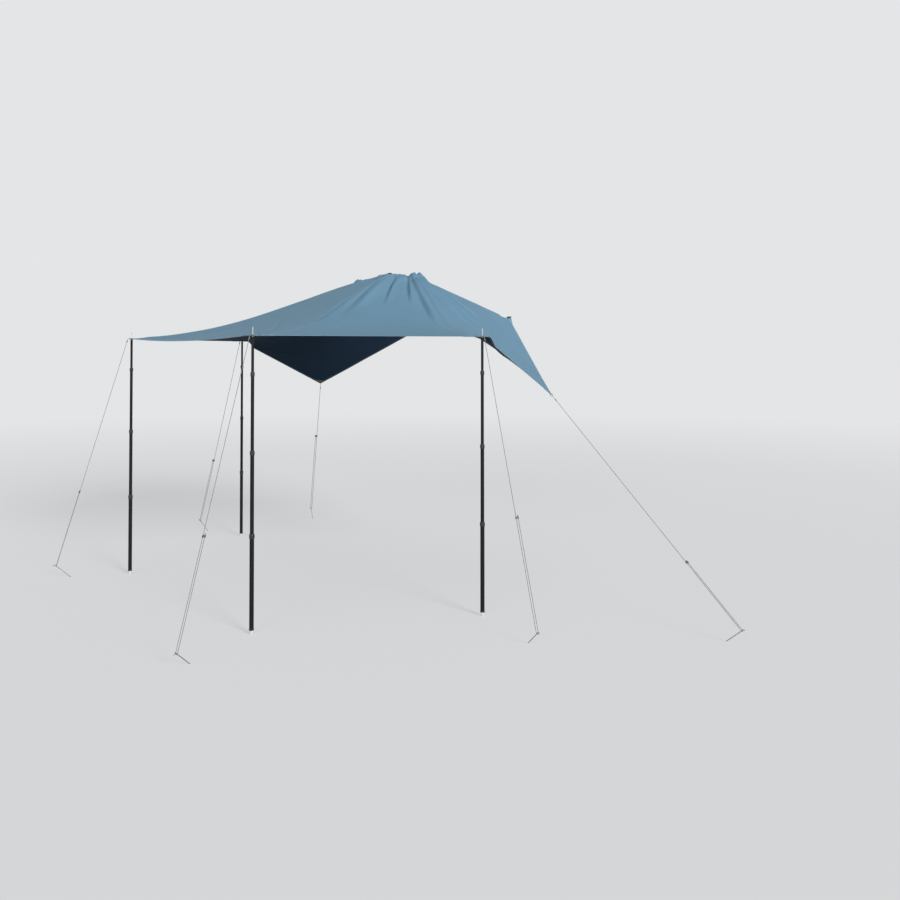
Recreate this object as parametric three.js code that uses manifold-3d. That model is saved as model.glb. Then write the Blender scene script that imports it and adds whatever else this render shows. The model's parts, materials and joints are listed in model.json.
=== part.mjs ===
// A guyed side awning: one shaped cloth, four telescopic poles, six guy lines and their pegs.
// Millimetres, +Z up. X runs along the outer edge, +Y towards the high crown edge of the cloth.
// The origin lies on the ground under the middle of the cloth.

import * as THREE from 'three';
import { mergeVertices } from 'three/addons/utils/BufferGeometryUtils.js';
import Module from 'manifold-3d';

const wasm = await Module();
wasm.setup();

// Outline of the cloth, in plan from the middle of the line between the outer poles
const outerPoleHalfSpan = 1115;
const innerPoleHalfSpan = 1895;
const innerPoleDepth = 1520;
const wingHalfSpan = 1770;
const wingDepth = 2450;
const notchHalfSpan = 580;
const notchDepth = 3150;
const crownHalfSpan = 410;
const crownDepth = 2080;
const hemReach = 20;

// Poles: how much of each section shows, from the ground up
const baseReach = 690;
const lowerReach = 590;
const upperReach = 560;
const tipReach = 280;

// Heights of the cloth
const eyeletHeight = baseReach + lowerReach + upperReach + tipReach;
const wingHeight = 1640;
const notchHeight = 2340;
const crownHeight = 2710;
const crownArch = 42;
const outerEdgeSag = 28;
const clothSag = 72;
const clothThickness = 2.4;

// Flat places where a pole head or a hook holds the cloth
const padFlatRadius = 66;
const padBlendRadius = 150;
const padMargin = 8;

// Grid of the cloth, in steps
const outerSpanSteps = 7;
const sideSpanSteps = 7;
const wingSpanSteps = 5;
const depthSteps = 13;
// How far along the grid the folds over the poles are softened, and the samples that soften them
const foldSoftShare = 0.1;
const foldSamples = 4;
// Where the outer pole and the inner pole stand along the edge, as shares of the grid
const outerPoleShare = 0.3;
const innerPoleShare = 0.62;
// Where the line to the outer pole leaves the crown edge, as a share of its half width
const crownFanShare = 0.34;
// How far in from the outer edge the cloth hangs lowest under its straight lines
const sagPeakShare = 1 / 3;

// Gathered pleats that run down from the crown edge
const pleatRise = 15;
const pleatStartWidth = 30;
const pleatEndWidth = 62;
// How long each pleat takes to rise and from where it fades, as shares of its length
const pleatLeadShare = 0.1;
const pleatFadeShare = 0.45;

// Telescopic poles, from the ground up
const tubeWall = 1.4;
const tubeSlack = 0.6;
const baseTubeRadius = 16;
const tubeRadiusStep = tubeWall + tubeSlack;
const lowerTubeRadius = baseTubeRadius - tubeRadiusStep;
const upperTubeRadius = lowerTubeRadius - tubeRadiusStep;
const tipTubeRadius = upperTubeRadius - tubeRadiusStep;
const baseJointHeight = baseReach;
const lowerJointHeight = baseJointHeight + lowerReach;
const upperJointHeight = lowerJointHeight + upperReach;
const tubeOverlap = 70;
const tipTubeInsert = 330;
const headPlugDepth = 24;
const pinRadius = 3;
const pinRise = 62;
const pinTipChamfer = 1.5;
const turnSides = 16;
const domeSteps = 4;

// Twist collar on the mouth of each outer tube
const collarWall = 3.2;
const collarLength = 32;
const collarSeatLength = 13;
const collarChamfer = 2.5;
const collarClearance = 0.6;
const collarFluteCount = 8;
const collarFluteSides = 3;
const collarFluteDepth = 1.3;
const collarFluteLength = 17;

// Foot under the base tube
const footTipRadius = 6.5;
const footTopRadius = 14.5;
const footConeHeight = 30;
const footSleeveWall = 1.8;
const footSleeveRadius = baseTubeRadius + footSleeveWall;
const footSleeveHeight = 12;
const footSleeveChamfer = 1.5;
const footSpigotLength = 26;

// Eyelets in the cloth
const eyeletPinSlack = 4;
const eyeletHoleRadius = pinRadius + eyeletPinSlack;
const eyeletWall = 1.4;
const eyeletBarrelRadius = eyeletHoleRadius + eyeletWall;
const eyeletFlangeWidth = 6.1;
const eyeletFlangeRadius = eyeletBarrelRadius + eyeletFlangeWidth;
const eyeletFlangeThickness = 1.2;
const tipHoleRadius = 4.6;
const pinchStep = hemReach + eyeletFlangeRadius + padMargin;

// Guy lines
const cordRadius = 2;
const cordSides = 8;
const eyeLoopRadius = 11;
const eyeLoopSides = 10;
const loopSectionSides = 6;
const guyCornerReach = 31;
const guyBendSetback = 10;
const guyBendSteps = 3;
const legSpread = 16;
const pegTurnSteps = 6;
const pegCordHeight = 105;
const stopperRadius = 4.6;
const stopperRings = 4;

// Slider on each guy line
const sliderLength = 16;
const sliderThickness = 11;
const sliderSideWall = 4.2;
const sliderHoleClearance = 0.7;
const sliderCornerSteps = 4;
const sliderBevel = 1.2;

// Pegs
const pegRadius = 3;
const pegLeanDegrees = 50;
const pegNeck = 12;
const pegHookRadius = 9;
const pegHookDegrees = 150;
const pegHookSteps = 6;

// Hooks on the crown edge and in the notch corners
const hookWidth = 40;
const hookPlate = 2;
const hookJawDepth = 18;
const hookNeckHeight = 13;
const hookSpan = 20;
const hookArm = 3;
const hookLipDrop = 8;
const hookInset = 25;

// Fits between pieces
const touchGap = 0.3;
const overrun = 4;

const clothBlue = 0x5f7f95;
const poleBlack = 0x17181a;
const collarBlack = 0x101113;
const footGrey = 0xd4d7d8;
const eyeletSteel = 0xc9ccce;
const cordGrey = 0xb9bbb9;
const sliderGrey = 0xc4c7c8;
const pegSteel = 0x9a9da0;
const hookBlack = 0x1b1c1f;

const up = new THREE.Vector3(0, 0, 1);

// The cloth's middle in depth, where the origin lies
const depthMiddle = (notchDepth - hemReach) / 2;

// A named mesh with its own finish
function piece(name, geometry, colour, roughness, metalness = 0) {
  const material = new THREE.MeshStandardMaterial({ color: colour, roughness, metalness });
  const mesh = new THREE.Mesh(geometry, material);
  mesh.name = name;
  return mesh;
}

// A closed geometry as a solid that can be joined and cut
function solidOf(geometry) {
  const bare = geometry.clone();
  bare.deleteAttribute('normal');
  bare.deleteAttribute('uv');
  const merged = mergeVertices(bare);
  const places = merged.getAttribute('position');
  const index = Array.from(merged.index.array);
  const triangles = [];
  for (let corner = 0; corner < index.length; corner += 3) {
    const [a, b, c] = index.slice(corner, corner + 3);
    if (a !== b && b !== c && c !== a) triangles.push(a, b, c);
  }
  return new wasm.Manifold(new wasm.Mesh({
    numProp: 3,
    vertProperties: new Float32Array(places.array),
    triVerts: new Uint32Array(triangles),
  }));
}

// A solid back as a geometry
function geometryOf(solid) {
  const mesh = solid.getMesh();
  const geometry = new THREE.BufferGeometry();
  geometry.setAttribute('position', new THREE.BufferAttribute(mesh.vertProperties, mesh.numProp));
  geometry.setIndex(new THREE.BufferAttribute(mesh.triVerts, 1));
  geometry.computeVertexNormals();
  return geometry;
}

// A profile of [radius, height] points turned about the Z axis
function turned(profile, sides = turnSides) {
  const points = profile.map(([radius, height]) => new THREE.Vector2(radius, height));
  const geometry = new THREE.LatheGeometry(points, sides);
  geometry.rotateX(Math.PI / 2);
  return geometry;
}

// A path through points of its own choosing, so that bends get steps and straight runs don't
class RoutePath extends THREE.Curve {
  constructor(points) {
    super();
    this.points = points;
  }

  getPoint(share, target = new THREE.Vector3()) {
    const place = share * (this.points.length - 1);
    const index = Math.min(Math.floor(place), this.points.length - 2);
    return target.lerpVectors(this.points[index], this.points[index + 1], place - index);
  }

  getTangent(share, target = new THREE.Vector3()) {
    const last = this.points.length - 1;
    const index = Math.round(share * last);
    const before = this.points[Math.max(index - 1, 0)];
    const here = this.points[index];
    const after = this.points[Math.min(index + 1, last)];
    const into = here.clone().sub(before).normalize();
    const out = after.clone().sub(here).normalize();
    return target.copy(into).add(out).normalize();
  }

  getPointAt(share, target) {
    return this.getPoint(share, target);
  }

  getTangentAt(share, target) {
    return this.getTangent(share, target);
  }
}

// A round section carried along points
function tubeAlong(points, radius, sides) {
  const section = new THREE.Shape();
  for (let side = 0; side < sides; side += 1) {
    const angle = (side / sides) * 2 * Math.PI;
    const x = radius * Math.cos(angle);
    const y = radius * Math.sin(angle);
    if (side === 0) section.moveTo(x, y);
    else section.lineTo(x, y);
  }
  section.closePath();
  const path = new RoutePath(points);
  return new THREE.ExtrudeGeometry(section, { steps: points.length - 1, extrudePath: path });
}

// A circular ring about the Z axis
function ring(ringRadius, sectionRadius, sectionSides, sides) {
  const profile = [];
  for (let side = 0; side <= sectionSides; side += 1) {
    const angle = (side % sectionSides / sectionSides) * 2 * Math.PI;
    profile.push([ringRadius + sectionRadius * Math.cos(angle), sectionRadius * Math.sin(angle)]);
  }
  return turned(profile, sides);
}

// A corner of the cloth, a hem's reach outside the pole that stands in it
function hemCorner(before, here, after) {
  const into = here.clone().sub(before).setZ(0).normalize();
  const out = after.clone().sub(here).setZ(0).normalize();
  const outwardBefore = new THREE.Vector3(into.y, -into.x, 0);
  const outwardAfter = new THREE.Vector3(out.y, -out.x, 0);
  const outward = outwardBefore.clone().add(outwardAfter).normalize();
  return here.clone().addScaledVector(outward, hemReach / outward.dot(outwardBefore));
}

// Places on the right half of the cloth
const outerMiddle = new THREE.Vector3(0, 0, eyeletHeight);
const outerPole = new THREE.Vector3(outerPoleHalfSpan, 0, eyeletHeight);
const innerPole = new THREE.Vector3(innerPoleHalfSpan, innerPoleDepth, eyeletHeight);
const wingTip = new THREE.Vector3(wingHalfSpan, wingDepth, wingHeight);
const notchCorner = new THREE.Vector3(notchHalfSpan, notchDepth, notchHeight);
const crownEnd = new THREE.Vector3(crownHalfSpan, crownDepth, crownHeight);
const crownMiddle = new THREE.Vector3(0, crownDepth, crownHeight + crownArch);
const outerCorner = hemCorner(outerMiddle, outerPole, innerPole);
const innerCorner = hemCorner(outerPole, innerPole, wingTip);
const edgeMiddle = new THREE.Vector3(0, -hemReach, eyeletHeight - outerEdgeSag);

// Where the cloth is held flat, on the right half
const notchInward = new THREE.Vector3()
  .add(crownEnd.clone().sub(notchCorner).setZ(0).normalize())
  .add(wingTip.clone().sub(notchCorner).setZ(0).normalize())
  .normalize();
const crownHookShare = 1 - hookInset / crownHalfSpan;
const crownHookPlace = crownPoint(crownHookShare);
const pads = [outerPole, innerPole, notchCorner, crownHookPlace, crownMiddle];

// How much of a pad's flatness a place in plan has, and the height it is held at
function padHold(place) {
  let hold = { weight: 0, height: 0 };
  for (const pad of pads) {
    const distance = Math.hypot(Math.abs(place.x) - pad.x, place.y - pad.y);
    const weight = 1 - THREE.MathUtils.smoothstep(distance, padFlatRadius, padBlendRadius);
    if (weight > hold.weight) hold = { weight, height: pad.z };
  }
  return hold;
}

// Shares along a span: a small step at each pinched end, even steps between
function spanShares(from, to, steps, pinchStart, pinchEnd) {
  const start = from + pinchStart;
  const end = to - pinchEnd;
  const shares = pinchStart > 0 ? [from] : [];
  for (let step = 0; step <= steps; step += 1) shares.push(start + ((end - start) * step) / steps);
  if (pinchEnd > 0) shares.push(to);
  return shares;
}

// A place on the crown edge, which arches between its ends
function crownPoint(share) {
  const height = crownHeight + crownArch * (1 - share * share);
  return new THREE.Vector3(crownHalfSpan * share, crownDepth, height);
}

// The outer edge, from its middle past both poles to the wing tip; it goes on past the middle
function outerEdgePoint(share) {
  const place = new THREE.Vector3();
  if (share <= outerPoleShare) {
    const along = share / outerPoleShare;
    place.lerpVectors(edgeMiddle, outerCorner, along);
    place.z = eyeletHeight - outerEdgeSag * (1 - along * along);
  } else if (share <= innerPoleShare) {
    const along = (share - outerPoleShare) / (innerPoleShare - outerPoleShare);
    place.lerpVectors(outerCorner, innerCorner, along);
  } else {
    place.lerpVectors(innerCorner, wingTip, (share - innerPoleShare) / (1 - innerPoleShare));
  }
  return place;
}

// The inner edge, from the middle of the crown round its end to the notch corner
function innerEdgePoint(share) {
  if (share <= outerPoleShare) return crownPoint((crownFanShare * share) / outerPoleShare);
  if (share <= innerPoleShare) {
    const along = (share - outerPoleShare) / (innerPoleShare - outerPoleShare);
    return crownPoint(crownFanShare + (1 - crownFanShare) * along);
  }
  return crownEnd.clone().lerp(notchCorner, (share - innerPoleShare) / (1 - innerPoleShare));
}

// A place on an edge, averaged over a stretch of it on both sides
function softened(edgePoint, share, reach) {
  const mean = new THREE.Vector3();
  for (let sample = -foldSamples; sample <= foldSamples; sample += 1) {
    mean.add(edgePoint(share + (reach * sample) / foldSamples));
  }
  return mean.divideScalar(2 * foldSamples + 1);
}

// A place on the cloth: on the straight line from the outer to the inner edge, whose folds soften
// away from the edges, and below it by the sag, which is largest towards the outer edge
function clothPoint(columnShare, rowShare) {
  const reach = Math.min(foldSoftShare * Math.sin(Math.PI * rowShare), 1 - columnShare);
  const place = softened(outerEdgePoint, columnShare, reach);
  place.lerp(softened(innerEdgePoint, columnShare, reach), rowShare);
  const power = 1 / sagPeakShare - 1;
  const peak = sagPeakShare * (1 - sagPeakShare) ** power;
  const wing = Math.max(0, columnShare - innerPoleShare) / (1 - innerPoleShare);
  place.z -= (clothSag * (1 - wing * wing) * rowShare * (1 - rowShare) ** power) / peak;
  const hold = padHold(place);
  place.z += (hold.height - place.z) * hold.weight;
  return place;
}

// The right half of the cloth as columns of points, from the outer edge inwards
function clothColumns() {
  const sidePinch = ((innerPoleShare - outerPoleShare) * pinchStep) / outerCorner.distanceTo(innerCorner);
  const outerPinch = (outerPoleShare * pinchStep) / outerCorner.x;
  const wingPinch = ((1 - innerPoleShare) * pinchStep) / innerCorner.distanceTo(wingTip);
  const columnShares = [
    ...spanShares(0, outerPoleShare, outerSpanSteps, 0, outerPinch),
    ...spanShares(outerPoleShare, innerPoleShare, sideSpanSteps, sidePinch, sidePinch).slice(1),
    ...spanShares(innerPoleShare, 1, wingSpanSteps, wingPinch, wingPinch).slice(1),
  ];
  const depthPinch = pinchStep / innerCorner.distanceTo(crownEnd);
  const rowShares = spanShares(0, 1, depthSteps, depthPinch, depthPinch);
  return columnShares.map((columnShare) => (
    rowShares.map((rowShare) => clothPoint(columnShare, rowShare))
  ));
}

// Pleats of the front half: where each starts on the crown edge, as a share of its half width;
// where it ends, as shares of the outer pole's way across and of the crown's depth; its height,
// and the height of its mirror image, as shares of the full rise
const pleatShares = [
  { start: 0.1, across: 0.79, deep: 0.31, rise: 0.8, mirrored: 0.2 },
  { start: 0.24, across: 0.72, deep: 0.48, rise: 1, mirrored: 0.25 },
  { start: 0.49, across: 0.77, deep: 0.65, rise: 0.6, mirrored: 0.2 },
  { start: 0.93, across: 1.27, deep: 0.72, rise: 1, mirrored: 0.7 },
  { start: 1, across: 1.17, deep: 0.99, rise: 1.1, mirrored: 0.8 },
  { start: 1, across: 1.08, deep: 1.11, rise: 0.6, mirrored: 0.4 },
];

// Height that one pleat at its full rise adds at a place in plan, on its own half
function pleatHeight(pleat, x, y) {
  const start = new THREE.Vector2(pleat.start * crownHalfSpan, crownDepth);
  const end = new THREE.Vector2(pleat.across * outerPoleHalfSpan, pleat.deep * crownDepth);
  const way = end.sub(start);
  const length = way.length();
  way.normalize();
  const from = new THREE.Vector2(x, y).sub(start);
  const along = from.dot(way) / length;
  const inside = THREE.MathUtils.clamp(along, 0, 1);
  const across = from.cross(way) / THREE.MathUtils.lerp(pleatStartWidth, pleatEndWidth, inside);
  const lead = THREE.MathUtils.smoothstep(along, -pleatLeadShare, pleatLeadShare);
  const fade = 1 - THREE.MathUtils.smoothstep(along, pleatFadeShare, 1);
  return pleatRise * lead * fade * Math.exp(-across * across);
}

// Height that all the pleats add at a place in plan
function pleatedHeight(x, y) {
  let height = 0;
  for (const pleat of pleatShares) {
    height += pleat.rise * pleatHeight(pleat, x, y);
    height += pleat.rise * pleat.mirrored * pleatHeight(pleat, -x, y);
  }
  return height;
}

// The whole cloth as a thin closed sheet with its eyelet holes
function canopyGeometry() {
  const half = clothColumns();
  const mirrored = half.slice(1).reverse().map((column) => (
    column.map((point) => new THREE.Vector3(-point.x, point.y, point.z))
  ));
  const columns = [...mirrored, ...half];
  const rows = half[0].length;
  for (const point of columns.flat()) {
    const free = 1 - padHold(point).weight;
    point.z += free * pleatedHeight(point.x, point.y);
  }
  const places = [];
  for (const side of [1, -1]) {
    for (const point of columns.flat()) {
      places.push(point.x, point.y, point.z + (side * clothThickness) / 2);
    }
  }
  const under = columns.length * rows;
  const triangles = [];
  const addSkin = (a, b, c) => {
    triangles.push(a, b, c);
    triangles.push(under + a, under + c, under + b);
  };
  for (let column = 0; column < columns.length - 1; column += 1) {
    const isMirrored = column < mirrored.length;
    for (let row = 0; row < rows - 1; row += 1) {
      const a = column * rows + row;
      const b = a + rows;
      const c = b + 1;
      const d = a + 1;
      if (isMirrored) {
        addSkin(a, b, d);
        addSkin(b, c, d);
      } else {
        addSkin(a, b, c);
        addSkin(a, c, d);
      }
    }
  }
  const addRim = (a, b) => {
    triangles.push(a, under + a, under + b);
    triangles.push(a, under + b, b);
  };
  const lastColumn = (columns.length - 1) * rows;
  for (let column = 0; column < columns.length - 1; column += 1) {
    const a = column * rows;
    addRim(a, a + rows);
    addRim(a + rows + rows - 1, a + rows - 1);
  }
  for (let row = 0; row < rows - 1; row += 1) {
    addRim(row + 1, row);
    addRim(lastColumn + row, lastColumn + row + 1);
  }
  const sheet = new THREE.BufferGeometry();
  sheet.setAttribute('position', new THREE.Float32BufferAttribute(places, 3));
  sheet.setIndex(triangles);
  let solid = solidOf(sheet);
  for (const side of [-1, 1]) {
    for (const pole of [outerPole, innerPole]) {
      const hole = holeCutter(eyeletBarrelRadius + touchGap);
      hole.translate(side * pole.x, pole.y, pole.z);
      solid = solid.subtract(solidOf(hole));
    }
    const tipHole = holeCutter(tipHoleRadius);
    const normal = new THREE.Vector3(side * tipNormal.x, tipNormal.y, tipNormal.z);
    tipHole.applyQuaternion(new THREE.Quaternion().setFromUnitVectors(up, normal));
    tipHole.translate(side * tipHolePlace.x, tipHolePlace.y, tipHolePlace.z);
    solid = solid.subtract(solidOf(tipHole));
  }
  return geometryOf(solid);
}

// A round cutter about the Z axis, longer than the cloth is thick
function holeCutter(radius) {
  const reach = clothThickness + eyeLoopRadius + overrun;
  const cutter = new THREE.CylinderGeometry(radius, radius, 2 * reach, turnSides);
  cutter.rotateX(Math.PI / 2);
  return cutter;
}

// At the wing tip: the way into the cloth between its two edges, the way through the cloth, and
// the hole whose outer edge the eye loop of the guy line pulls on
const tipInward = new THREE.Vector3()
  .add(innerCorner.clone().sub(wingTip).normalize())
  .add(notchCorner.clone().sub(wingTip).normalize())
  .normalize();
const tipNormal = up.clone().addScaledVector(tipInward, -tipInward.z).normalize();
const tipHoleReach = eyeLoopRadius - cordRadius - touchGap + tipHoleRadius;
const tipHolePlace = wingTip.clone().addScaledVector(tipInward, tipHoleReach);

// A plain tube, standing on its lower end
function tubeGeometry(radius, length) {
  const bore = radius - tubeWall;
  return turned([[radius, 0], [radius, length], [bore, length], [bore, 0], [radius, 0]]);
}

// The tip tube: open below, with a domed plug and the pin on top
function tipTubeGeometry(length) {
  const bore = tipTubeRadius - tubeWall;
  const profile = [
    [0, length - headPlugDepth],
    [bore, length - headPlugDepth],
    [bore, 0],
    [tipTubeRadius, 0],
  ];
  for (let step = 0; step <= domeSteps; step += 1) {
    const angle = (step / domeSteps) * Math.acos(pinRadius / tipTubeRadius);
    profile.push([
      tipTubeRadius * Math.cos(angle),
      length + tipTubeRadius * Math.sin(angle),
    ]);
  }
  const pinTop = length + tipTubeRadius + pinRise;
  profile.push([pinRadius, pinTop - pinTipChamfer]);
  profile.push([pinRadius - pinTipChamfer, pinTop]);
  profile.push([0, pinTop]);
  return turned(profile);
}

// A twist collar: seated over the outer tube's mouth below, round the inner tube above, fluted
function collarGeometry(outerTubeRadius, innerTubeRadius) {
  const seat = outerTubeRadius + collarClearance;
  const bore = innerTubeRadius + collarClearance;
  const grip = outerTubeRadius + collarWall;
  const nose = innerTubeRadius + collarWall;
  const top = collarLength - collarSeatLength;
  const body = solidOf(turned([
    [seat, -collarSeatLength],
    [grip - collarChamfer / 2, -collarSeatLength],
    [grip, collarChamfer - collarSeatLength],
    [grip, top - 2 * collarChamfer],
    [nose, top],
    [bore, top],
    [bore, touchGap],
    [seat, touchGap],
    [seat, -collarSeatLength],
  ]));
  let collar = body;
  for (let flute = 0; flute < collarFluteCount; flute += 1) {
    const angle = ((flute + 0.5) / collarFluteCount) * 2 * Math.PI;
    const groove = new THREE.CylinderGeometry(
      collarFluteDepth,
      collarFluteDepth,
      collarFluteLength,
      collarFluteSides,
    );
    groove.rotateX(Math.PI / 2);
    groove.translate(grip, 0, (top - collarSeatLength) / 2);
    groove.rotateZ(angle);
    collar = collar.subtract(solidOf(groove));
  }
  return geometryOf(collar);
}

// The foot: a cone to the ground, a sleeve under the tube's end and a spigot inside the tube
function footGeometry() {
  const spigot = baseTubeRadius - tubeWall - touchGap;
  const sleeveTop = footConeHeight + footSleeveHeight;
  return turned([
    [0, 0],
    [footTipRadius, 0],
    [footTopRadius, footConeHeight],
    [footSleeveRadius, footConeHeight],
    [footSleeveRadius, sleeveTop - footSleeveChamfer],
    [footSleeveRadius - footSleeveChamfer, sleeveTop],
    [spigot, sleeveTop],
    [spigot, sleeveTop + footSpigotLength],
    [0, sleeveTop + footSpigotLength],
  ]);
}

// An eyelet pressed round the hole, with a flange on both faces of the cloth
function eyeletGeometry() {
  const inner = clothThickness / 2 + touchGap;
  const outer = inner + eyeletFlangeThickness;
  return turned([
    [eyeletHoleRadius, -outer],
    [eyeletFlangeRadius, -outer],
    [eyeletFlangeRadius, -inner],
    [eyeletBarrelRadius, -inner],
    [eyeletBarrelRadius, inner],
    [eyeletFlangeRadius, inner],
    [eyeletFlangeRadius, outer],
    [eyeletHoleRadius, outer],
    [eyeletHoleRadius, -outer],
  ]);
}

// The tip tube's dome seats in the eyelet's mouth, on the edge of its lower flange
const eyeletUnderside = eyeletHeight - clothThickness / 2 - touchGap - eyeletFlangeThickness;
const domeSeatDrop = Math.sqrt((tipTubeRadius + touchGap) ** 2 - eyeletHoleRadius ** 2);
const domeCentreHeight = eyeletUnderside - domeSeatDrop;

// One telescopic pole with its collars, foot and eyelet, standing at a place in plan
function pole(name, x, y) {
  const group = new THREE.Group();
  group.position.set(x, y, 0);
  const baseBottom = footConeHeight + footSleeveHeight + touchGap;
  const stages = [
    ['base', baseTubeRadius, lowerTubeRadius, baseBottom, baseJointHeight],
    ['lower', lowerTubeRadius, upperTubeRadius, baseJointHeight - tubeOverlap, lowerJointHeight],
    ['upper', upperTubeRadius, tipTubeRadius, lowerJointHeight - tubeOverlap, upperJointHeight],
  ];
  for (const [stage, radius, innerRadius, bottom, top] of stages) {
    const tubeForm = tubeGeometry(radius, top - bottom);
    const tube = piece(`${name}_pole_${stage}_tube`, tubeForm, poleBlack, 0.35, 0.4);
    tube.position.z = bottom;
    const collarForm = collarGeometry(radius, innerRadius);
    const collar = piece(`${name}_pole_${stage}_collar`, collarForm, collarBlack, 0.55);
    collar.position.z = top;
    group.add(tube, collar);
  }
  const tipBottom = upperJointHeight - tipTubeInsert;
  const tipForm = tipTubeGeometry(domeCentreHeight - tipBottom);
  const tip = piece(`${name}_pole_tip_tube`, tipForm, poleBlack, 0.35, 0.4);
  tip.position.z = tipBottom;
  const foot = piece(`${name}_pole_foot`, footGeometry(), footGrey, 0.4);
  const eyelet = piece(`${name}_eyelet`, eyeletGeometry(), eyeletSteel, 0.25, 1);
  eyelet.position.z = eyeletHeight;
  group.add(tip, foot, eyelet);
  return group;
}

// A slider: a rounded block with a hole for each leg of the cord, its holes along Z
function sliderGeometry() {
  const half = legSpread / 2;
  const end = sliderThickness / 2;
  const reach = half + cordRadius + sliderSideWall - end;
  const outline = new THREE.Shape();
  for (const side of [1, -1]) {
    for (let step = 0; step <= sliderCornerSteps; step += 1) {
      const angle = (step / sliderCornerSteps - 0.5) * Math.PI + (side < 0 ? Math.PI : 0);
      const x = side * reach + (end - sliderBevel) * Math.cos(angle);
      const y = (end - sliderBevel) * Math.sin(angle);
      if (side > 0 && step === 0) outline.moveTo(x, y);
      else outline.lineTo(x, y);
    }
  }
  outline.closePath();
  const block = new THREE.ExtrudeGeometry(outline, {
    depth: sliderLength - 2 * sliderBevel,
    bevelSize: sliderBevel,
    bevelThickness: sliderBevel,
    bevelSegments: 1,
  });
  block.translate(0, 0, sliderBevel - sliderLength / 2);
  let slider = solidOf(block);
  for (const side of [-1, 1]) {
    const hole = tubeAlong([
      new THREE.Vector3(side * half, 0, -sliderLength / 2 - overrun),
      new THREE.Vector3(side * half, 0, sliderLength / 2 + overrun),
    ], cordRadius + sliderHoleClearance, cordSides);
    slider = slider.subtract(solidOf(hole));
  }
  return geometryOf(slider);
}

// Guy lines: the head each hangs from, how far out its peg stands from it in plan (the end of the
// cord's route, set by hand on the ground), and how far down the line its slider sits
const mirrorX = new THREE.Vector3(-1, 1, 1);
const guyLines = [
  { name: 'rear_outer', head: outerPole.clone().multiply(mirrorX), out: [-305, -540], sliderShare: 0.68 },
  { name: 'front_outer', head: outerPole, out: [305, -690], sliderShare: 0.66 },
  { name: 'rear_inner', head: innerPole.clone().multiply(mirrorX), out: [-615, -180], sliderShare: 0.66 },
  { name: 'front_inner', head: innerPole, out: [765, -220], sliderShare: 0.64 },
  { name: 'rear_wing', head: wingTip.clone().multiply(mirrorX), out: [-550, 230], sliderShare: 0.4 },
  { name: 'front_wing', head: wingTip, out: [1780, -70], sliderShare: 0.75 },
];

// The lay of one guy line: its directions, the start of its straight run and the turn at its peg
function guyLay(line) {
  const [outX, outY] = line.out;
  const outward = new THREE.Vector3(outX, outY, 0).normalize();
  const sideways = new THREE.Vector3().crossVectors(up, outward);
  const turnCentre = new THREE.Vector3(line.head.x + outX, line.head.y + outY, pegCordHeight);
  const runEnd = turnCentre.clone().addScaledVector(sideways, -legSpread / 2);
  const isWing = line.name.endsWith('wing');
  const eyeletTop = eyeletHeight + clothThickness / 2 + touchGap + eyeletFlangeThickness;
  const loopHeight = eyeletTop + touchGap + cordRadius;
  const loopCentre = isWing ? line.head.clone() : line.head.clone().setZ(loopHeight);
  const tipOutward = tipInward.clone().negate();
  tipOutward.x *= Math.sign(line.head.x);
  const leaving = isWing ? tipOutward : outward;
  const loopAxis = isWing ? new THREE.Vector3().crossVectors(leaving, up).normalize() : up;
  const runStart = loopCentre.clone().addScaledVector(leaving, guyCornerReach);
  const along = runEnd.clone().sub(runStart).normalize();
  return { outward, sideways, leaving, turnCentre, runEnd, loopCentre, loopAxis, runStart, along };
}

// Points of one cord: from its eye loop, down to the peg, round it and back up to the stopper knot
function guyPoints(line, lay) {
  const { sideways, leaving, turnCentre, runEnd, loopCentre, runStart, along } = lay;
  const bend = new THREE.QuadraticBezierCurve3(
    runStart.clone().addScaledVector(leaving, -guyBendSetback),
    runStart,
    runStart.clone().addScaledVector(along, guyBendSetback),
  );
  const loopSide = loopCentre.clone().addScaledVector(leaving, eyeLoopRadius);
  const points = [loopSide, ...bend.getPoints(guyBendSteps)];
  for (let step = 0; step <= pegTurnSteps; step += 1) {
    const angle = (step / pegTurnSteps) * Math.PI;
    points.push(turnCentre.clone()
      .addScaledVector(sideways, (-legSpread / 2) * Math.cos(angle))
      .addScaledVector(along, (legSpread / 2) * Math.sin(angle)));
  }
  const runLength = runStart.distanceTo(runEnd);
  const legLength = runLength * (1 - line.sliderShare) + sliderLength / 2 + touchGap + stopperRadius;
  points.push(points.at(-1).clone().addScaledVector(along, -legLength));
  return points;
}

// One guy line, its slider and its peg
function guy(line) {
  const lay = guyLay(line);
  const { outward, sideways, leaving, turnCentre, loopCentre, loopAxis, along } = lay;
  const points = guyPoints(line, lay);
  // A corner of the ring faces the way that the cord leaves it
  const loop = ring(eyeLoopRadius, cordRadius, loopSectionSides, eyeLoopSides);
  loop.applyMatrix4(new THREE.Matrix4().makeBasis(
    new THREE.Vector3().crossVectors(loopAxis, leaving),
    leaving.clone().negate(),
    loopAxis,
  ));
  loop.translate(...loopCentre);
  const stopper = new THREE.SphereGeometry(stopperRadius, cordSides, stopperRings);
  stopper.translate(...points.at(-1));
  const cord = solidOf(tubeAlong(points, cordRadius, cordSides)).add(solidOf(loop)).add(solidOf(stopper));

  const slider = piece(`${line.name}_guy_slider`, sliderGeometry(), sliderGrey, 0.5);
  slider.position.lerpVectors(lay.runStart, lay.runEnd, line.sliderShare);
  slider.position.addScaledVector(sideways, legSpread / 2);
  slider.quaternion.setFromRotationMatrix(new THREE.Matrix4().makeBasis(
    sideways,
    new THREE.Vector3().crossVectors(along, sideways),
    along,
  ));
  return [
    piece(`${line.name}_guy`, geometryOf(cord), cordGrey, 0.9),
    slider,
    piece(`${line.name}_guy_peg`, pegGeometry(outward, turnCentre, along), pegSteel, 0.35, 1),
  ];
}

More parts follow.
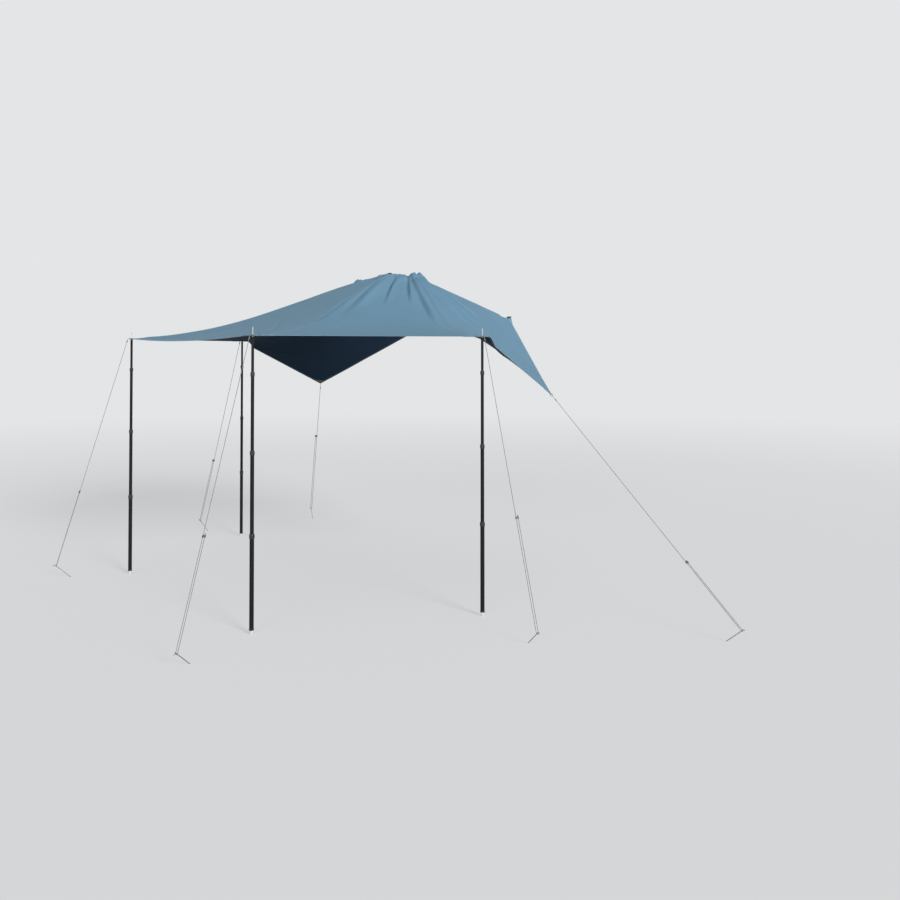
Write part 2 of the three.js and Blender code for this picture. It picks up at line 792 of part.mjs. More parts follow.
// A hook peg that leans away from the load, cut level where it meets the ground
function pegGeometry(outward, turnCentre, along) {
  const lean = THREE.MathUtils.degToRad(pegLeanDegrees);
  const shaft = outward.clone().multiplyScalar(Math.sin(lean)).addScaledVector(up, Math.cos(lean));
  const over = outward.clone().multiplyScalar(Math.cos(lean)).addScaledVector(up, -Math.sin(lean));
  const shaftReach = pegRadius / Math.sin(shaft.angleTo(along));
  const turnReach = (legSpread / 2) * Math.cos(Math.PI / (2 * pegTurnSteps)) - cordRadius;
  const seat = turnCentre.clone().addScaledVector(along, turnReach - shaftReach - touchGap);
  const shaftLength = (seat.z + overrun * 2) / Math.cos(lean);
  const neck = seat.clone().addScaledVector(shaft, pegNeck);
  const points = [seat.clone().addScaledVector(shaft, -shaftLength)];
  for (let step = 0; step <= pegHookSteps; step += 1) {
    const angle = THREE.MathUtils.degToRad((step / pegHookSteps) * pegHookDegrees);
    points.push(neck.clone()
      .addScaledVector(over, pegHookRadius * (1 - Math.cos(angle)))
      .addScaledVector(shaft, pegHookRadius * Math.sin(angle)));
  }
  const rod = tubeAlong(points, pegRadius, cordSides);
  const groundDepth = pegCordHeight;
  const ground = new THREE.BoxGeometry(2 * groundDepth, 2 * groundDepth, groundDepth);
  ground.translate(points[0].x, points[0].y, -groundDepth / 2);
  return geometryOf(solidOf(rod).subtract(solidOf(ground)));
}

// A hook: a jaw that grips the cloth's edge and an arm that hooks over an edge above it
function hookGeometry() {
  const jaw = clothThickness / 2 + touchGap;
  const plate = jaw + hookPlate;
  const armTop = plate + hookNeckHeight + hookArm;
  const outline = new THREE.Shape([
    [-hookJawDepth, -plate],
    [hookArm, -plate],
    [hookArm, armTop - hookArm],
    [hookSpan - hookArm, armTop - hookArm],
    [hookSpan - hookArm, armTop - hookArm - hookLipDrop],
    [hookSpan, armTop - hookArm - hookLipDrop],
    [hookSpan, armTop],
    [0, armTop],
    [0, plate],
    [-hookJawDepth, plate],
    [-hookJawDepth, jaw],
    [touchGap, jaw],
    [touchGap, -jaw],
    [-hookJawDepth, -jaw],
  ].map(([y, z]) => new THREE.Vector2(y, z)));
  const geometry = new THREE.ExtrudeGeometry(outline, { depth: hookWidth, bevelEnabled: false });
  geometry.translate(0, 0, -hookWidth / 2);
  // The outline's first axis becomes Y and its second Z, and the extrusion runs along X
  geometry.applyMatrix4(new THREE.Matrix4().makeBasis(
    new THREE.Vector3(0, 1, 0),
    new THREE.Vector3(0, 0, 1),
    new THREE.Vector3(1, 0, 0),
  ));
  return geometry;
}

// A hook at a place on the cloth's edge, its jaw facing into the cloth
function hook(name, place, inward) {
  const mesh = piece(name, hookGeometry(), hookBlack, 0.5);
  mesh.position.copy(place);
  mesh.rotation.z = Math.atan2(-inward.y, -inward.x) - Math.PI / 2;
  return mesh;
}

const awning = new THREE.Group();
awning.position.y = -depthMiddle;
awning.add(piece('canopy', canopyGeometry(), clothBlue, 0.85));
for (const [name, side, place] of [
  ['rear_outer', -1, outerPole],
  ['front_outer', 1, outerPole],
  ['rear_inner', -1, innerPole],
  ['front_inner', 1, innerPole],
]) {
  awning.add(pole(name, side * place.x, place.y));
}
for (const line of guyLines) awning.add(...guy(line));

const crownInward = new THREE.Vector3(0, -1, 0);
awning.add(hook('crown_hook_centre', crownMiddle, crownInward));
for (const [name, side] of [['rear', -1], ['front', 1]]) {
  const crownPlace = new THREE.Vector3(side * crownHookPlace.x, crownHookPlace.y, crownHookPlace.z);
  awning.add(hook(`crown_hook_${name}`, crownPlace, crownInward));
  const notchPlace = new THREE.Vector3(side * notchCorner.x, notchCorner.y, notchCorner.z);
  const inward = new THREE.Vector3(side * notchInward.x, notchInward.y, 0);
  awning.add(hook(`notch_hook_${name}`, notchPlace, inward));
}

export default awning;
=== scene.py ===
"""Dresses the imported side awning: its cloth, hems, patches, cords, knots and finishes.

The cloth, the hems and the cords repeat the formulas of the part's source, in metres, and add
the fine pleats, creases and stitches that the solids leave out.
"""

from __future__ import annotations

import json
import logging
import math
from collections.abc import Callable
from dataclasses import dataclass
from enum import Enum

import bmesh
import bpy
import numpy as np
from mathutils import Matrix, Vector

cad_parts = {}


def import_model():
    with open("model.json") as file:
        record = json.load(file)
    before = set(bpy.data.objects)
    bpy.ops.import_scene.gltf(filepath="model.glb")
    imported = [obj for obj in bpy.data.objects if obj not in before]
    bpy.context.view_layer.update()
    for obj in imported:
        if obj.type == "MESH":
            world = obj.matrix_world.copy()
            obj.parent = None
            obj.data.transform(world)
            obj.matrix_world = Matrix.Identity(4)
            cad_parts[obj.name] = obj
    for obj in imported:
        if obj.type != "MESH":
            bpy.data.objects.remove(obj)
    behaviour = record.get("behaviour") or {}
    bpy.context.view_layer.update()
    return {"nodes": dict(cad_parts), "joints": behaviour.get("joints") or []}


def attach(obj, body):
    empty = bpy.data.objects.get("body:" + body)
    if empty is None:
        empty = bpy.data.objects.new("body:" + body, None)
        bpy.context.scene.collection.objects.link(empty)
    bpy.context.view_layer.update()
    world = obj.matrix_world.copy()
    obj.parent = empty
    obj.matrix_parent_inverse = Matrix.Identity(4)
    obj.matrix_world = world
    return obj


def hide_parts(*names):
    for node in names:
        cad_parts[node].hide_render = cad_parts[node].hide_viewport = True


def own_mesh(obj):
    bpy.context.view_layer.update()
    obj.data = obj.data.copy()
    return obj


log = logging.getLogger("awning")

Array = np.ndarray
Inputs = dict[str | int, object]

# The body that the cloth and the cords ride on
ROOT = "awning_top"
# The two ends of the row, each with the side of the middle that it lies on
ENDS = (("rear", -1.0), ("front", 1.0))
UP = np.array([0.0, 0.0, 1.0])
# From the line between the outer poles, where the cloth is drawn, to the row's origin
DEPTH_MIDDLE = 1.565
# Sizes in metres that more than one piece or finish has
HEM_WIDTH = 0.022
PATCH_WIDTH = 0.10
CORD_RADIUS = 0.002
LOOP_RADIUS = 0.011
TOUCH_GAP = 0.0003
# Higher than any piece
ABOVE_ALL = 9.0
# Sides of a small round hole or dome
ROUND_SIDES = 24
# Two faces that meet at more than this many degrees keep a sharp edge
SHARP_DEGREES = 35.0

# Scale of a wave texture whose bands are a millimetre apart
WAVE = 314.0
# The node types that several finishes use
PLACE, UV_PLACE, PARTS = "ShaderNodeTexCoord", "ShaderNodeUVMap", "ShaderNodeSeparateXYZ"
MATH, MIX, RANGE = "ShaderNodeMath", "ShaderNodeMix", "ShaderNodeMapRange"
NOISE, BANDS, BUMP = "ShaderNodeTexNoise", "ShaderNodeTexWave", "ShaderNodeBump"


class Face(Enum):
    """The face of the cloth that a sewn piece lies on."""

    TOP = 1
    UNDER = -1


class Stage(Enum):
    """A tube of a pole, from the ground up."""

    BASE = "base"
    LOWER = "lower"
    UPPER = "upper"
    TIP = "tip"


# Shapes


def unit(vectors: Array) -> Array:
    """Vectors along the last axis, each scaled to length one.

    Args:
        vectors: an array whose last axis holds X, Y and Z.

    Returns:
        The array of unit vectors.
    """
    length = np.linalg.norm(vectors, axis=-1, keepdims=True)
    return vectors / np.maximum(length, 1e-12)


def smoothstep(values: Array, low: float, high: float) -> Array:
    """A smooth rise from 0 at low to 1 at high."""
    share = np.clip((values - low) / (high - low), 0.0, 1.0)
    return share * share * (3.0 - 2.0 * share)


def distances(path: Array) -> Array:
    """How far each point of a path lies along it from its start."""
    return np.concatenate([[0.0], np.cumsum(np.linalg.norm(np.diff(path, axis=0), axis=1))])


def uv_grid(across: Array, along: Array) -> Array:
    """Cloth places of a grid that runs along a piece first and across it second."""
    return np.stack(np.broadcast_arrays(across[None, :], along[:, None]), axis=-1)


def grid_faces(rows: int, columns: int, wrap: bool = False, close: bool = False) -> Array:
    """Quads of a grid whose points are numbered along its columns first.

    Args:
        rows: points along the first parameter.
        columns: points along the second parameter.
        wrap: whether the second parameter closes on itself.
        close: whether the first parameter closes on itself.

    Returns:
        An array of four point numbers for each quad.
    """
    down, across = rows if close else rows - 1, columns if wrap else columns - 1
    row, column = np.meshgrid(np.arange(down), np.arange(across), indexing="ij")
    here, below = row * columns, (row + 1) % rows * columns
    after = (column + 1) % columns
    return np.stack([here + column, below + column, below + after, here + after], axis=-1).reshape(-1, 4)


def mesh_object(name: str, points: Array, faces: list, uv: Array | None = None) -> bpy.types.Object:
    """A mesh object at the origin, smooth shaded.

    Args:
        name: the object's name.
        points: the vertices, one row each.
        faces: lists of vertex numbers.
        uv: a place on the cloth for each vertex, in metres, or None.

    Returns:
        The new object, linked to the scene.
    """
    mesh = bpy.data.meshes.new(name)
    mesh.from_pydata(points.reshape(-1, 3).tolist(), [], faces)
    if uv is not None:
        layer = mesh.uv_layers.new(name="cloth_uv")
        index = np.empty(len(mesh.loops), np.int32)
        mesh.loops.foreach_get("vertex_index", index)
        layer.data.foreach_set("uv", uv.reshape(-1, 2)[index].astype(np.float32).ravel())
    mesh.polygons.foreach_set("use_smooth", np.ones(len(mesh.polygons), bool))
    mesh.update()
    shown = bpy.data.objects.new(name, mesh)
    bpy.context.scene.collection.objects.link(shown)
    return shown


def closed_sheet(name: str, top: Array, under: Array, uv: Array) -> bpy.types.Object:
    """A thin closed sheet between two grids of points; slot 0 is its top, slot 1 its underside.

    Args:
        name: the object's name.
        top: the grid of the upper skin, rows by columns by three.
        under: the grid of the lower skin.
        uv: the cloth place of each grid point, in metres.

    Returns:
        The sheet, with its rim closed by quads in slot 0.
    """
    rows, columns = top.shape[:2]
    skin = grid_faces(rows, columns)
    count = rows * columns
    ring = np.concatenate([
        np.arange(columns - 1),
        np.arange(rows - 1) * columns + columns - 1,
        count - 1 - np.arange(columns - 1),
        (rows - 1 - np.arange(rows - 1)) * columns,
    ])
    after = np.roll(ring, -1)
    rim = np.stack([ring, after, after + count, ring + count], axis=-1)
    # the same corner comes first on both skins, so that both are split along one diagonal
    faces = np.concatenate([skin, skin[:, [0, 3, 2, 1]] + count, rim])
    points = np.concatenate([top.reshape(-1, 3), under.reshape(-1, 3)])
    sheet = mesh_object(name, points, faces.tolist(), np.concatenate([uv, uv]))
    slots = np.zeros(len(faces), np.int32)
    slots[len(skin):2 * len(skin)] = 1
    sheet.data.polygons.foreach_set("material_index", slots)
    return sheet


def swept(name: str, path: Array, radii: Array, reference: Array, sides: int) -> bpy.types.Object:
    """A round section carried along a path, closed at both ends.

    Each point is the path's point plus the radius times (cos a, sin a) in the plane across it.

    Args:
        name: the object's name.
        path: the points that the section's centre follows.
        radii: the section's radius at each point.
        reference: for each point, a direction that isn't along the path.
        sides: points round the section.

    Returns:
        The tube, with its cloth place running round it and along it, in metres.
    """
    tangent = unit(np.gradient(path, axis=0))
    normal = unit(reference - np.sum(reference * tangent, axis=1, keepdims=True) * tangent)
    binormal = np.cross(tangent, normal)
    angle = np.linspace(0.0, 2.0 * np.pi, sides, endpoint=False)[None, :, None]
    ring = np.cos(angle) * normal[:, None] + np.sin(angle) * binormal[:, None]
    points = path[:, None] + radii[:, None, None] * ring
    around = np.abs(np.linspace(-1.0, 1.0, sides, endpoint=False)) * np.pi * float(radii.max())
    faces = grid_faces(len(path), sides, wrap=True)[:, ::-1].tolist()
    last = (len(path) - 1) * sides
    faces.append(list(range(sides))[::-1])
    faces.append([last + side for side in range(sides)])
    tube = mesh_object(name, points, faces, uv_grid(around, distances(path)))
    outward(tube)
    return tube


def outward(shown: bpy.types.Object, merged: float | None = None) -> None:
    """Turns every face of a closed mesh outwards.

    Args:
        shown: the mesh's object.
        merged: the distance within which points are made one first, or None.
    """
    work = bmesh.new()
    work.from_mesh(shown.data)
    if merged is not None:
        bmesh.ops.remove_doubles(work, verts=work.verts[:], dist=merged)
    bmesh.ops.recalc_face_normals(work, faces=work.faces[:])
    work.to_mesh(shown.data)
    work.free()


# Finishes


def linear(colour: str) -> tuple[float, float, float, float]:
    """Turns an sRGB colour to linear light.

    Args:
        colour: the colour as a hash and six hex digits.

    Returns:
        Red, green, blue and an alpha of one.
    """
    srgb = np.array([int(colour[place:place + 2], 16) for place in (1, 3, 5)]) / 255.0
    value = np.where(srgb <= 0.04045, srgb / 12.92, ((srgb + 0.055) / 1.055) ** 2.4)
    return (float(value[0]), float(value[1]), float(value[2]), 1.0)


def fill(tree: bpy.types.NodeTree, target: bpy.types.Node, inputs: Inputs) -> None:
    """Sets a node's inputs.

    Args:
        tree: the tree that the node is in.
        target: the node.
        inputs: for each input, by name or number, a number or vector, a colour in hex, a socket
            to link from, or a node to link from by its first output.
    """
    for key, value in inputs.items():
        if isinstance(value, bpy.types.Node):
            value = value.outputs[0]
        if isinstance(value, bpy.types.NodeSocket):
            tree.links.new(value, target.inputs[key])
        else:
            target.inputs[key].default_value = linear(value) if isinstance(value, str) else value


def node(
    tree: bpy.types.NodeTree, kind: str, inputs: Inputs | None = None, **settings: object
) -> bpy.types.Node:
    """Adds a node to a tree.

    Args:
        tree: the node tree.
        kind: the node's Blender type.
        inputs: what its inputs get, as fill takes it.
        settings: the node's own settings.

    Returns:
        The new node.
    """
    made = tree.nodes.new(kind)
    for key, value in settings.items():
        setattr(made, key, value)
    fill(tree, made, inputs or {})
    return made


@dataclass(frozen=True)
class Finish:
    """What every finish shares: a name and a way to its material."""

    name: str

    def looks(self, tree: bpy.types.NodeTree) -> Inputs:
        """What the Principled shader's inputs get; each finish has its own."""
        return {}

    def build(self) -> bpy.types.Material:
        """Makes the material and sets its Principled shader.

        Returns:
            The material.
        """
        material = bpy.data.materials.new(self.name)
        material.use_nodes = True
        tree = material.node_tree
        fill(tree, tree.nodes["Principled BSDF"], self.looks(tree))
        return material


@dataclass(frozen=True)
class CoatedCloth(Finish):
    """Woven polyester with a thin polyurethane coat.

    It gives the eye an even colour with slow clouds in it, a broad dull highlight, a faint weave
    and shallow creases from being rolled up.
    """

    colour: str
    worn: str
    roughness: float
    gloss: float
    uneven: tuple[float, float] = (-0.06, 0.08)
    clouds_per_metre: float = 2.6
    weave_mm: float = 2.4
    crease_mm: float = 110.0

    def looks(self, tree: bpy.types.NodeTree) -> Inputs:
        """Clouds, weave and creases on Object coordinates, in metres.

        Args:
            tree: the material's node tree.

        Returns:
            What the shader's inputs get.
        """
        place = node(tree, PLACE).outputs["Object"]
        cloud = node(tree, NOISE, {"Vector": place, "Scale": self.clouds_per_metre, "Detail": 5.0})
        colour = node(tree, MIX, {"Factor": cloud, 6: self.colour, 7: self.worn}, data_type="RGBA")
        # threads a quarter of a millimetre apart can't show, so the weave is drawn ten times coarser
        bands = {"Vector": place, "Scale": WAVE / self.weave_mm}
        warp = node(tree, BANDS, bands, bands_direction="X")
        weft = node(tree, BANDS, bands, bands_direction="Y")
        weave = node(tree, MATH, {0: warp.outputs[1], 1: weft.outputs[1]}, operation="ADD")
        crease = node(tree, NOISE, {"Vector": place, "Scale": 1000.0 / self.crease_mm, "Detail": 2.5,
                                    "Roughness": 0.5, "Distortion": 0.6})
        fine = node(tree, BUMP, {"Strength": 0.04, "Distance": 0.0001, "Height": weave})
        bump = node(tree, BUMP, {"Strength": 0.3, "Distance": 0.002, "Height": crease, "Normal": fine})
        rough = node(tree, RANGE, {"Value": crease, "To Min": self.roughness + self.uneven[0],
                                   "To Max": self.roughness + self.uneven[1]})
        return {"Base Color": colour.outputs[2], "Roughness": rough, "Normal": bump,
                "Specular IOR Level": self.gloss, "Sheen Weight": 0.01, "Sheen Roughness": 0.45}


@dataclass(frozen=True)
class SewnTape(Finish):
    """Doubled cloth or woven tape, sewn down with two rows of lockstitch.

    It gives the eye coarser ribs than the cloth's weave, and dashes of paler thread that sink in.
    """

    colour: str
    thread: str
    width: float
    stitch_mm: float = 9.0
    thread_share: float = 0.75
    thread_radius: float = 0.0011
    rib_mm: float = 4.0
    inset: float = 0.14
    roughness: float = 0.72
    sheen: float = 0.1

    def looks(self, tree: bpy.types.NodeTree) -> Inputs:
        """Ribs and stitches: U runs across the tape from 0 to its width, V along it, in metres.

        A row lies a share of the width, the inset, inside each side. A stitch is thread for a
        share of its length, then a hole. Stitches and ribs are too fine to show at their real
        size, and are drawn about three times as coarse.

        Args:
            tree: the material's node tree.

        Returns:
            What the shader's inputs get.
        """
        place = node(tree, UV_PLACE, uv_map="cloth_uv").outputs[0]
        split = node(tree, PARTS, {0: place})
        across = node(tree, MATH, {0: split.outputs[0], 1: self.width}, operation="DIVIDE")
        fold = node(tree, MATH, {0: across, 1: 0.5}, operation="SUBTRACT")
        side = node(tree, MATH, {0: fold}, operation="ABSOLUTE")
        near = node(tree, MATH, {0: side, 1: 0.5 - self.inset}, operation="SUBTRACT")
        far = node(tree, MATH, {0: near}, operation="ABSOLUTE")
        row = node(tree, MATH, {0: far, 1: self.thread_radius / self.width}, operation="LESS_THAN")
        beat = node(tree, MATH, {0: split.outputs[1], 1: self.stitch_mm / 1000.0}, operation="DIVIDE")
        share = node(tree, MATH, {0: beat}, operation="FRACT")
        shown = node(tree, MATH, {0: share, 1: self.thread_share}, operation="LESS_THAN")
        stitch = node(tree, MATH, {0: row, 1: shown}, operation="MULTIPLY")
        colour = node(tree, MIX, {"Factor": stitch, 6: self.colour, 7: self.thread}, data_type="RGBA")
        ribs = node(tree, BANDS, {"Vector": place, "Scale": WAVE / self.rib_mm}, bands_direction="Y")
        sunk = node(tree, MATH, {0: ribs.outputs[1], 1: stitch}, operation="SUBTRACT")
        bump = node(tree, BUMP, {"Strength": 0.12, "Distance": 0.0003, "Height": sunk})
        return {"Base Color": colour.outputs[2], "Normal": bump, "Roughness": self.roughness,
                "Sheen Weight": self.sheen}


@dataclass(frozen=True)
class PowderCoat(Finish):
    """Black powder coat on drawn tube, which ends at a height where a bare pin begins.

    It gives the eye a near black with a low, soft highlight, a fine orange peel and slightly
    worn patches. The pin is a smoother pale grey.
    """

    colour: str = "#0d0e10"
    worn: str = "#15161a"
    roughness: float = 0.38
    uneven: tuple[float, float] = (-0.05, 0.09)
    gloss: float = 0.18
    bare_colour: str = "#b9bfc0"
    bare_from: float = ABOVE_ALL
    bare_roughness: float = 0.24
    peel_per_metre: float = 900.0
    wear_per_metre: float = 22.0

    def looks(self, tree: bpy.types.NodeTree) -> Inputs:
        """Coat and bare metal, parted by height on Object coordinates, in metres.

        Args:
            tree: the material's node tree.

        Returns:
            What the shader's inputs get.
        """
        place = node(tree, PLACE).outputs["Object"]
        height = node(tree, PARTS, {0: place}).outputs[2]
        bare = node(tree, MATH, {0: height, 1: self.bare_from}, operation="GREATER_THAN")
        peel = node(tree, NOISE, {"Vector": place, "Scale": self.peel_per_metre, "Detail": 2.0})
        wear = node(tree, NOISE, {"Vector": place, "Scale": self.wear_per_metre, "Detail": 4.0})
        shade = node(tree, MIX, {"Factor": wear, 6: self.colour, 7: self.worn}, data_type="RGBA")
        colour = node(tree, MIX, {"Factor": bare, 6: shade.outputs[2], 7: self.bare_colour}, data_type="RGBA")
        coat = node(tree, RANGE, {"Value": wear, "To Min": self.roughness + self.uneven[0],
                                  "To Max": self.roughness + self.uneven[1]})
        rough = node(tree, MIX, {"Factor": bare, 2: coat, 3: self.bare_roughness})
        bump = node(tree, BUMP, {"Strength": 0.15, "Distance": 0.0002, "Height": peel})
        return {"Base Color": colour.outputs[2], "Roughness": rough, "Normal": bump,
                "Specular IOR Level": self.gloss}


@dataclass(frozen=True)
class MouldedNylon(Finish):
    """Injection moulded nylon; a height may part it into two colours where two mouldings meet.

    It gives the eye a dull plastic with the light grain of a spark-eroded mould and soft scuffs.
    """

    colour: str
    upper_colour: str | None = None
    upper_from: float = ABOVE_ALL
    roughness: float = 0.52
    uneven: tuple[float, float] = (-0.1, 0.1)
    tones: tuple[float, float] = (0.88, 1.12)
    grain_mm: float = 0.9
    scuffs_per_metre: float = 60.0

    def looks(self, tree: bpy.types.NodeTree) -> Inputs:
        """Grain, scuffs and the two colours on Object coordinates, in metres.

        Args:
            tree: the material's node tree.

        Returns:
            What the shader's inputs get.
        """
        place = node(tree, PLACE).outputs["Object"]
        grain = node(tree, NOISE, {"Vector": place, "Scale": 1000.0 / self.grain_mm, "Detail": 3.0})
        scuff = node(tree, NOISE, {"Vector": place, "Scale": self.scuffs_per_metre, "Detail": 5.0,
                                   "Roughness": 0.6})
        height = node(tree, PARTS, {0: place}).outputs[2]
        over = node(tree, MATH, {0: height, 1: self.upper_from}, operation="GREATER_THAN")
        base = node(tree, MIX, {"Factor": over, 6: self.colour, 7: self.upper_colour or self.colour},
                    data_type="RGBA")
        tone = node(tree, RANGE, {"Value": scuff, "To Min": self.tones[0], "To Max": self.tones[1]})
        shade = node(tree, "ShaderNodeHueSaturation", {"Value": tone, "Color": base.outputs[2]})
        rough = node(tree, RANGE, {"Value": scuff, "To Min": self.roughness + self.uneven[0],
                                   "To Max": self.roughness + self.uneven[1]})
        bump = node(tree, BUMP, {"Strength": 0.2, "Distance": 0.0003, "Height": grain})
        return {"Base Color": shade, "Roughness": rough, "Normal": bump}


@dataclass(frozen=True)
class BareMetal(Finish):
    """Plated or plain drawn metal.

    It gives the eye a bright grey with fine draw lines and duller patches.
    """

    colour: str
    roughness: float
    dulled: str = "#8d9092"
    uneven: tuple[float, float] = (-0.08, 0.14)
    line_mm: float = 0.6
    patches_per_metre: float = 90.0

    def looks(self, tree: bpy.types.NodeTree) -> Inputs:
        """Patches and draw lines on Object coordinates, in metres.

        Args:
            tree: the material's node tree.

        Returns:
            What the shader's inputs get.
        """
        place = node(tree, PLACE).outputs["Object"]
        dull = node(tree, NOISE, {"Vector": place, "Scale": self.patches_per_metre, "Detail": 4.0})
        lines = node(tree, NOISE, {"Vector": place, "Scale": 1000.0 / self.line_mm, "Detail": 2.0})
        shade = node(tree, MIX, {"Factor": dull, 6: self.colour, 7: self.dulled}, data_type="RGBA")
        rough = node(tree, RANGE, {"Value": dull, "To Min": self.roughness + self.uneven[0],
                                   "To Max": self.roughness + self.uneven[1]})
        bump = node(tree, BUMP, {"Strength": 0.12, "Distance": 0.0002, "Height": lines})
        return {"Base Color": shade.outputs[2], "Roughness": rough, "Normal": bump, "Metallic": 1.0}


@dataclass(frozen=True)
class BraidedCord(Finish):
    """Braided polyester cord.

    It gives the eye a dull herringbone of strands with a darker tracer strand.
    """

    colour: str
    tracer: str
    strand_mm: float = 3.4
    tracer_every: float = 4.0
    tracer_from: float = 0.95
    slant: float = 0.7
    roughness: float = 0.78

    def looks(self, tree: bpy.types.NodeTree) -> Inputs:
        """Crossed strands: U runs round the cord and back, V along it, in metres.

        The strands cross at about forty degrees to the cord. They are about a millimetre wide,
        too fine to show, and are drawn three times as coarse.

        Args:
            tree: the material's node tree.

        Returns:
            What the shader's inputs get.
        """
        place = node(tree, UV_PLACE, uv_map="cloth_uv").outputs[0]
        left = node(tree, "ShaderNodeMapping", {"Vector": place, "Rotation": (0.0, 0.0, self.slant)})
        right = node(tree, "ShaderNodeMapping", {"Vector": place, "Rotation": (0.0, 0.0, -self.slant)})
        scale = WAVE / self.strand_mm
        one = node(tree, BANDS, {"Vector": left, "Scale": scale}, bands_direction="Y")
        two = node(tree, BANDS, {"Vector": right, "Scale": scale}, bands_direction="Y")
        braid = node(tree, MATH, {0: one.outputs[1], 1: two.outputs[1]}, operation="MAXIMUM")
        tracer = node(tree, BANDS, {"Vector": left, "Scale": scale / self.tracer_every}, bands_direction="Y")
        shown = node(tree, MATH, {0: tracer.outputs[1], 1: self.tracer_from}, operation="GREATER_THAN")
        colour = node(tree, MIX, {"Factor": shown, 6: self.colour, 7: self.tracer}, data_type="RGBA")
        bump = node(tree, BUMP, {"Strength": 0.6, "Distance": 0.0006, "Height": braid})
        return {"Base Color": colour.outputs[2], "Normal": bump, "Roughness": self.roughness}


TOP_CLOTH = CoatedCloth("coated_polyester_top", "#61859b", "#5b7e94", roughness=0.6, gloss=0.12)
# the underside's navy is the top cloth's blue darkened: painted shade for the underside
UNDER_CLOTH_PAINTED_SHADE = CoatedCloth("coated_polyester_underside_painted_shade", "#14283b", "#182c3f", roughness=0.72, gloss=0.12)
HEM_TAPE = SewnTape("hem_of_doubled_cloth", "#5d8198", "#829fb2", HEM_WIDTH)
# the hem's underside is its top tape and thread darkened to navy: painted shade
HEM_UNDER_PAINTED_SHADE = SewnTape("hem_of_doubled_cloth_underside", "#182a3a", "#34485a", HEM_WIDTH)
PATCH_TOP = SewnTape("patch_of_doubled_cloth", "#5a7e94", "#829fb2", PATCH_WIDTH, inset=0.06)
PATCH_UNDER = SewnTape("patch_of_webbing_underside", "#57503f", "#8c846f", PATCH_WIDTH, inset=0.06)
POLE_COAT = PowderCoat("black_powder_coat")
# bare from near the top of the tip tube's dome
TIP_COAT = PowderCoat("black_powder_coat_with_bare_pin", bare_from=2.1125)
COLLAR_NYLON = MouldedNylon("black_glass_filled_nylon", "#15161a")
# the sleeve starts above the foot's pale tip
FOOT_NYLON = MouldedNylon("pale_nylon_tip_black_sleeve", "#c6c9c9", "#15161a", 0.0302)
SLIDER_NYLON = MouldedNylon("grey_nylon", "#4e5154", roughness=0.42)
HOOK_NYLON = MouldedNylon("black_acetal", "#1c1d20", roughness=0.4)
EYELET_PLATE = BareMetal("nickel_plated_brass", "#c9cccd", 0.22)
PEG_STEEL = BareMetal("galvanised_steel", "#b2b6b8", 0.38)
GUY_BRAID = BraidedCord("braided_polyester", "#76797a", "#54585a")
SNAP_NYLON = MouldedNylon("black_snap", "#17191d", roughness=0.36)


def smoothing(degrees: float) -> bpy.types.NodeTree:
    """A geometry group that shades faces smooth and keeps edges sharp above an angle.

    Args:
        degrees: the angle between two faces from which their edge stays sharp.

    Returns:
        The node group.
    """
    group = bpy.data.node_groups.new("smooth_turned_faces", "GeometryNodeTree")
    group.interface.new_socket("Geometry", in_out="INPUT", socket_type="NodeSocketGeometry")
    group.interface.new_socket("Geometry", in_out="OUTPUT", socket_type="NodeSocketGeometry")
    start = node(group, "NodeGroupInput")
    angle = node(group, "GeometryNodeInputMeshEdgeAngle")
    sharp = node(group, "FunctionNodeCompare", {0: angle, 1: math.radians(degrees)}, operation="GREATER_THAN")
    faces = node(group, "GeometryNodeSetShadeSmooth", {0: start, 2: True}, domain="FACE")
    edges = node(group, "GeometryNodeSetShadeSmooth", {0: faces, 1: sharp, 2: False}, domain="EDGE")
    node(group, "NodeGroupOutput", {0: edges})
    return group


class Dresser:
    """Builds each material once and puts it on pieces."""

    def __init__(self) -> None:
        """Starts with no material built."""
        self.built: dict[str, bpy.types.Material] = {}
        self.smooth = smoothing(SHARP_DEGREES)

    def dress_solid(self, shown: bpy.types.Object, finish: Finish) -> None:
        """Gives a solid its finish and shades its round sides smooth."""
        self.dress(shown, finish)
        shown.modifiers.new("smooth", "NODES").node_group = self.smooth

    def dress(self, shown: bpy.types.Object, *finishes: Finish) -> bpy.types.Object:
        """Gives an object its finishes, one for each material slot.

        Args:
            shown: the object to dress.
            finishes: its finishes in the order of its slots.

        Returns:
            The same object.
        """
        slots = shown.data.materials
        for place, finish in enumerate(finishes):
            if finish.name not in self.built:
                self.built[finish.name] = finish.build()
            if place < len(slots):
                slots[place] = self.built[finish.name]
            else:
                slots.append(self.built[finish.name])
        return shown


# Cloth


